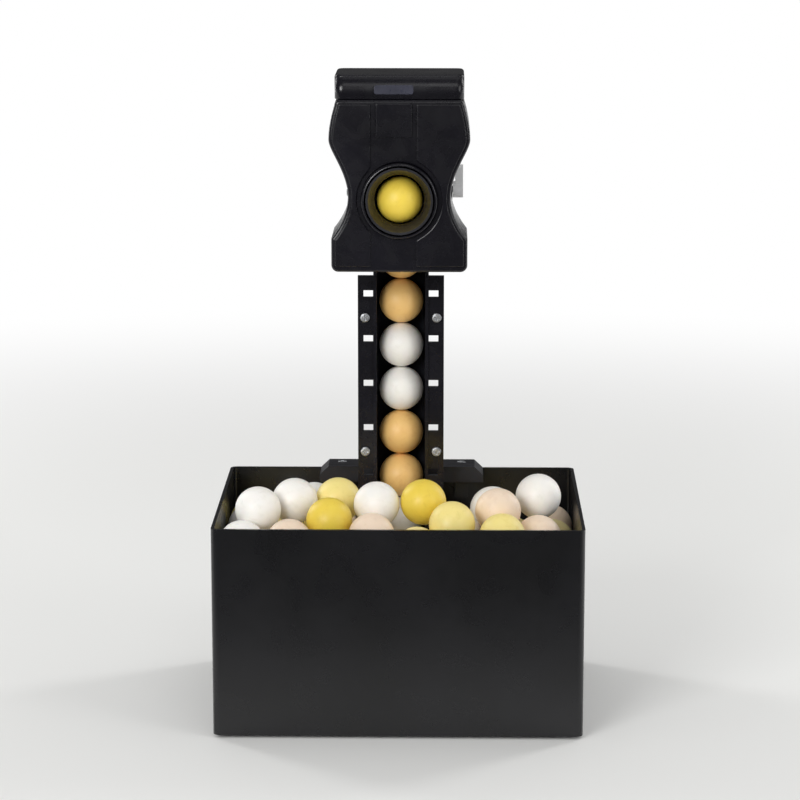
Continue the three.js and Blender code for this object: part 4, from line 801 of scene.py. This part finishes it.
def nozzleCollar(v):
    # a section of (radius, y), from the seat over the rounded rim into the flared mouth and along the throat,
    # carried round y: (radius sin a, y, radius cos a)
    section = fillet([
        (v["outer"], v["seat"] + 2), (v["outer"], v["front"]), (v["mouth"] + 1.2, v["front"]),
        (v["throat"], v["front"] + v["depth"]), (v["throat"], v["end"]), (v["throat"] + 2, v["end"]),
        (v["throat"] + 5, v["seat"] + 2),
    ], [0, 2.2, 1.6, 6, 0, 0, 0], 8)
    a = np.linspace(0, 2 * math.pi, v["sides"], endpoint=False)
    radius, y = (section * mm).T[..., None]
    points = np.stack([radius * np.sin(a), y + 0 * a, radius * np.cos(a)], axis=-1)
    points = points + np.array([0, 0, casing["aim"][1] * mm])
    piece = meshFrom("nozzle_collar", points, gridFaces(*points.shape[:2], True), plastics["glossyMouldedAbs"])
    return dress(facingOut(piece), "head", "trim_black")


nozzleCollar(nozzle)
print("head made")


# Balls: a shallow seam round each, every ball turned its own way

ballLook = {
    "radius": 20.0, "rings": 24, "sides": 48,
    "seam": 0.07, "seamWidth": 0.5,  # depth and half width of the groove at the joint of the halves
}
turns = np.random.default_rng(7)


def ballPoints(centres):
    # sphere (sin t cos a, sin t sin a, cos t), its radius lowered by a narrow bell at the equator, turned by a
    # random unit quaternion (w, x, y, z) for each centre
    v = ballLook
    t = np.linspace(0, math.pi, v["rings"] + 1)[1:-1]
    a = np.linspace(0, 2 * math.pi, v["sides"], endpoint=False)
    bell = np.exp(-((t - math.pi / 2) * v["radius"] / v["seamWidth"]) ** 2)
    radius = v["radius"] * mm - v["seam"] * mm * bell
    ring = np.stack([
        np.outer(radius * np.sin(t), np.cos(a)), np.outer(radius * np.sin(t), np.sin(a)),
        np.repeat((radius * np.cos(t))[:, None], len(a), axis=1),
    ], axis=-1).reshape(-1, 3)
    poles = np.array([[0, 0, v["radius"] * mm], [0, 0, -v["radius"] * mm]])
    ball = np.vstack([ring, poles])
    spins = turns.normal(size=(len(centres), 4))
    spins /= np.linalg.norm(spins, axis=1, keepdims=True)
    w, x, y, z = spins.T
    matrices = np.stack([
        np.stack([1 - 2 * (y * y + z * z), 2 * (x * y - z * w), 2 * (x * z + y * w)], axis=-1),
        np.stack([2 * (x * y + z * w), 1 - 2 * (x * x + z * z), 2 * (y * z - x * w)], axis=-1),
        np.stack([2 * (x * z - y * w), 2 * (y * z + x * w), 1 - 2 * (x * x + y * y)], axis=-1),
    ], axis=1)
    return np.einsum("nij,pj->npi", matrices, ball) + np.asarray(centres)[:, None, :]


def ballsPiece(name, centres, material):
    # one mesh of several balls, each a grid of rings closed by a fan at either pole
    points = ballPoints(centres)
    rows, columns = ballLook["rings"] - 1, ballLook["sides"]
    one = gridFaces(rows, columns, False)
    north, south = rows * columns, rows * columns + 1
    k = np.arange(columns)
    following = (k + 1) % columns
    capNorth = np.stack([k * 0 + north, following, k], axis=1)
    capSouth = np.stack([k * 0 + south, k + (rows - 1) * columns, following + (rows - 1) * columns], axis=1)
    one = one + capNorth.tolist() + capSouth.tolist()
    step = points.shape[1]
    faces = [[i + step * n for i in face] for n in range(len(centres)) for face in one]
    return facingOut(meshFrom(name, points.reshape(-1, 3), faces, material))


def centreOf(node):
    low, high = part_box(node)
    return np.array((low + high) / 2)


stack = {1: "yellow", 2: "white", 3: "orange", 4: "orange", 5: "white", 6: "white", 7: "orange", 8: "orange"}
for k, colour in stack.items():
    piece = ballsPiece(f"stack_ball_{k}", [centreOf(f"column_ball_{k}")], ballColours[colour])
    dress(piece, "base", f"ball_{colour}", f"column_ball_{k}")
served = ballsPiece("served_ball", [centreOf("nozzle_ball")], ballColours["yellow"])
dress(served, "head", "ball_yellow", "nozzle_ball")
print("column balls made")


# Loose balls: the ones that show lie where they are placed, the rows behind them near their own places, and the
# rest settle round and under them

heapLook = {
    "count": 90, "seed": 11, "startX": 134, "startY": 95, "startLow": 115, "startHigh": 240,
    "steps": 600, "rounds": 4, "fall": 0.9, "play": 0.15, "give": 0.8,  # fall in one step, play round a ball
    "wallX": 156, "wallY": 117, "columnX": 39, "columnFront": 48.2,  # inside of the box, and the column's block
    "room": 39.3,  # least distance between the centres of two kept balls
    "topY": (-70, -30), "topZ": (160, 142), "sideX": 105, "sideZ": 132,  # surface over the kept loose balls
    "colourSeed": 5,
}
placedBalls = [
    # x, y, z, colour: left to right along the top of the heap
    (-122, -62, 188.5, "white"), (-134, -96.4, 167, "white"), (-93.5, -95.2, 168, "peach"),
    (-91.5, -35.5, 190, "white"), (-77, 21, 173, "white"), (-54, -20, 187, "paleYellow"), (-60, -70, 181, "yellow"),
    (-19.5, -50, 190.5, "white"), (-23, -89, 172, "peach"), (16, -97, 162, "cream"), (21, -47, 192, "yellow"),
    (46, -76.5, 179.5, "paleYellow"), (60, -43, 155, "white"), (82, -10, 177, "white"), (86, -50, 185, "peach"),
    (89, -89, 172, "paleYellow"), (121, -62, 164, "peach"), (122, -18, 190.5, "white"),
]
rowBalls = [
    # x, y, z, colour: rows left of the column, then right of it
    (-135, -17, 150, "cream"), (-100, 0, 158, "paleYellow"), (-135, 21, 152, "white"), (-98, 50, 154, "cream"),
    (-59, 45, 152, "peach"), (-135, 62, 148, "paleYellow"), (-98, 88, 150, "white"), (-61, 82, 148, "cream"),
    (60, 21, 136, "cream"), (98, 24, 138, "paleYellow"), (135, 21, 140, "cream"), (60, 60, 136, "white"),
    (98, 62, 136, "cream"), (135, 60, 140, "peach"), (107, -24, 152, "cream"),
]
floorPlanes = [
    # normal, a point: the hopper floor's right, left, front and rear slope, and its mouth
    ((-32, 0, 130.1), (25.6, 0, 88)), ((32, 0, 130.1), (-25.6, 0, 88)), ((0, 32, 101.2), (0, -15.5, 88)),
    ((0, -32, 16.3), (0, 100.4, 88)), ((0, 0, 1), (0, 0, 80)),
]


def settle(v, placed, rows):
    # every step lowers the loose balls, then parts each touching pair along the line between them and pushes
    # balls back inside the walls, above the sloping floor's planes and out of the column's block; of a pair, the
    # ball of the later list gives way to the one of the earlier list, and two of one list share the way
    draw = np.random.default_rng(v["seed"])
    r = ballLook["radius"] + v["play"]
    fixed = np.array([p[:3] for p in placed], float)
    near = np.array([p[:3] for p in rows], float)
    loose = np.stack([draw.uniform(-v["startX"], v["startX"], v["count"]),
                      draw.uniform(-v["startY"], v["startY"], v["count"]),
                      draw.uniform(v["startLow"], v["startHigh"], v["count"])], axis=1)
    points = np.vstack([fixed, near, loose])
    rank = np.repeat([0, 1, 2], [len(fixed), len(near), len(loose)])
    free, falling = rank > 0, rank > 1
    share = np.clip((rank[:, None] - rank[None]) / 2 + 0.5, 0, 1)[..., None]
    planes = []
    for normal, start in floorPlanes:
        unit = np.array(normal, float) / np.linalg.norm(normal)
        planes.append((unit, unit @ np.array(start, float)))
    for step in range(v["steps"]):
        points[falling, 2] -= v["fall"] * (1 - step / v["steps"]) ** 2
        for _ in range(v["rounds"]):
            gaps = points[:, None] - points[None]
            far = np.linalg.norm(gaps, axis=2) + np.eye(len(points)) * 1e3
            overlap = np.clip(2 * r - far, 0, None)
            push = (gaps / far[..., None] * overlap[..., None] * share).sum(1)
            points[free] += v["give"] * push[free] / np.maximum((overlap[free] > 0).sum(1, keepdims=True) ** 0.5, 1)
            points[free, 0] = np.clip(points[free, 0], r - v["wallX"], v["wallX"] - r)
            points[free, 1] = np.clip(points[free, 1], r - v["wallY"], v["wallY"] - r)
            for unit, level in planes:
                under = np.clip(r - (points @ unit - level), 0, None)
                points[free] += under[free, None] * unit
            nearest = np.stack([np.clip(points[:, 0], -v["columnX"], v["columnX"]),
                                np.maximum(points[:, 1], v["columnFront"])], axis=1)
            away = points[:, :2] - nearest
            reach = np.linalg.norm(away, axis=1)
            inside = free & (reach < r)
            out = np.where(reach[:, None] > 1e-6, away / np.maximum(reach, 1e-6)[:, None], [0, -1.0])
            points[inside, :2] += (out * (r - reach)[:, None])[inside]
    return points


looseShares = {"white": 0.3, "cream": 0.24, "paleYellow": 0.18, "yellow": 0.12, "peach": 0.16}


def looseColours(v, points, listed):
    # keeps loose balls under a surface that falls from the front to the back and lies low by the right wall;
    # the listed balls are all kept, with their own colours
    x, y, z = points.T
    kept = z < np.where(x > v["sideX"], v["sideZ"], np.interp(y, v["topY"], v["topZ"]))
    kept[:len(listed)] = True
    for i in range(len(listed), len(points)):
        # a loose ball without room among the kept ones before it is left out
        kept[i] &= np.linalg.norm(points[:i][kept[:i]] - points[i], axis=1).min() > v["room"]
    draw = np.random.default_rng(v["colourSeed"])
    names = draw.choice(list(looseShares), len(points), p=list(looseShares.values()))
    names[:len(listed)] = [p[3] for p in listed]
    return kept, names


heapPoints = settle(heapLook, placedBalls, rowBalls)
kept, heapNames = looseColours(heapLook, heapPoints, placedBalls + rowBalls)
heapSlots = {
    # colour: slot, and the CAD heap that this colour's balls replace
    "white": ("ball_white", ["ball_heap_left"]), "cream": ("ball_cream", ["ball_heap_front"]),
    "yellow": ("ball_yellow", ["ball_heap_right"]), "paleYellow": ("ball_cream", []), "peach": ("ball_orange", []),
}
for colour, (slot, replaced) in heapSlots.items():
    chosen = heapPoints[kept & (heapNames == colour)] * mm
    dress(ballsPiece(f"heap_balls_{colour}", chosen, ballColours[colour]), "base", slot, *replaced)
lying = heapPoints[kept]
between = np.linalg.norm(lying[:, None] - lying[None], axis=2) + np.eye(len(lying)) * 1e3
print("heap made:", len(lying), "balls, closest pair", round(float(between.min()), 2), "mm")
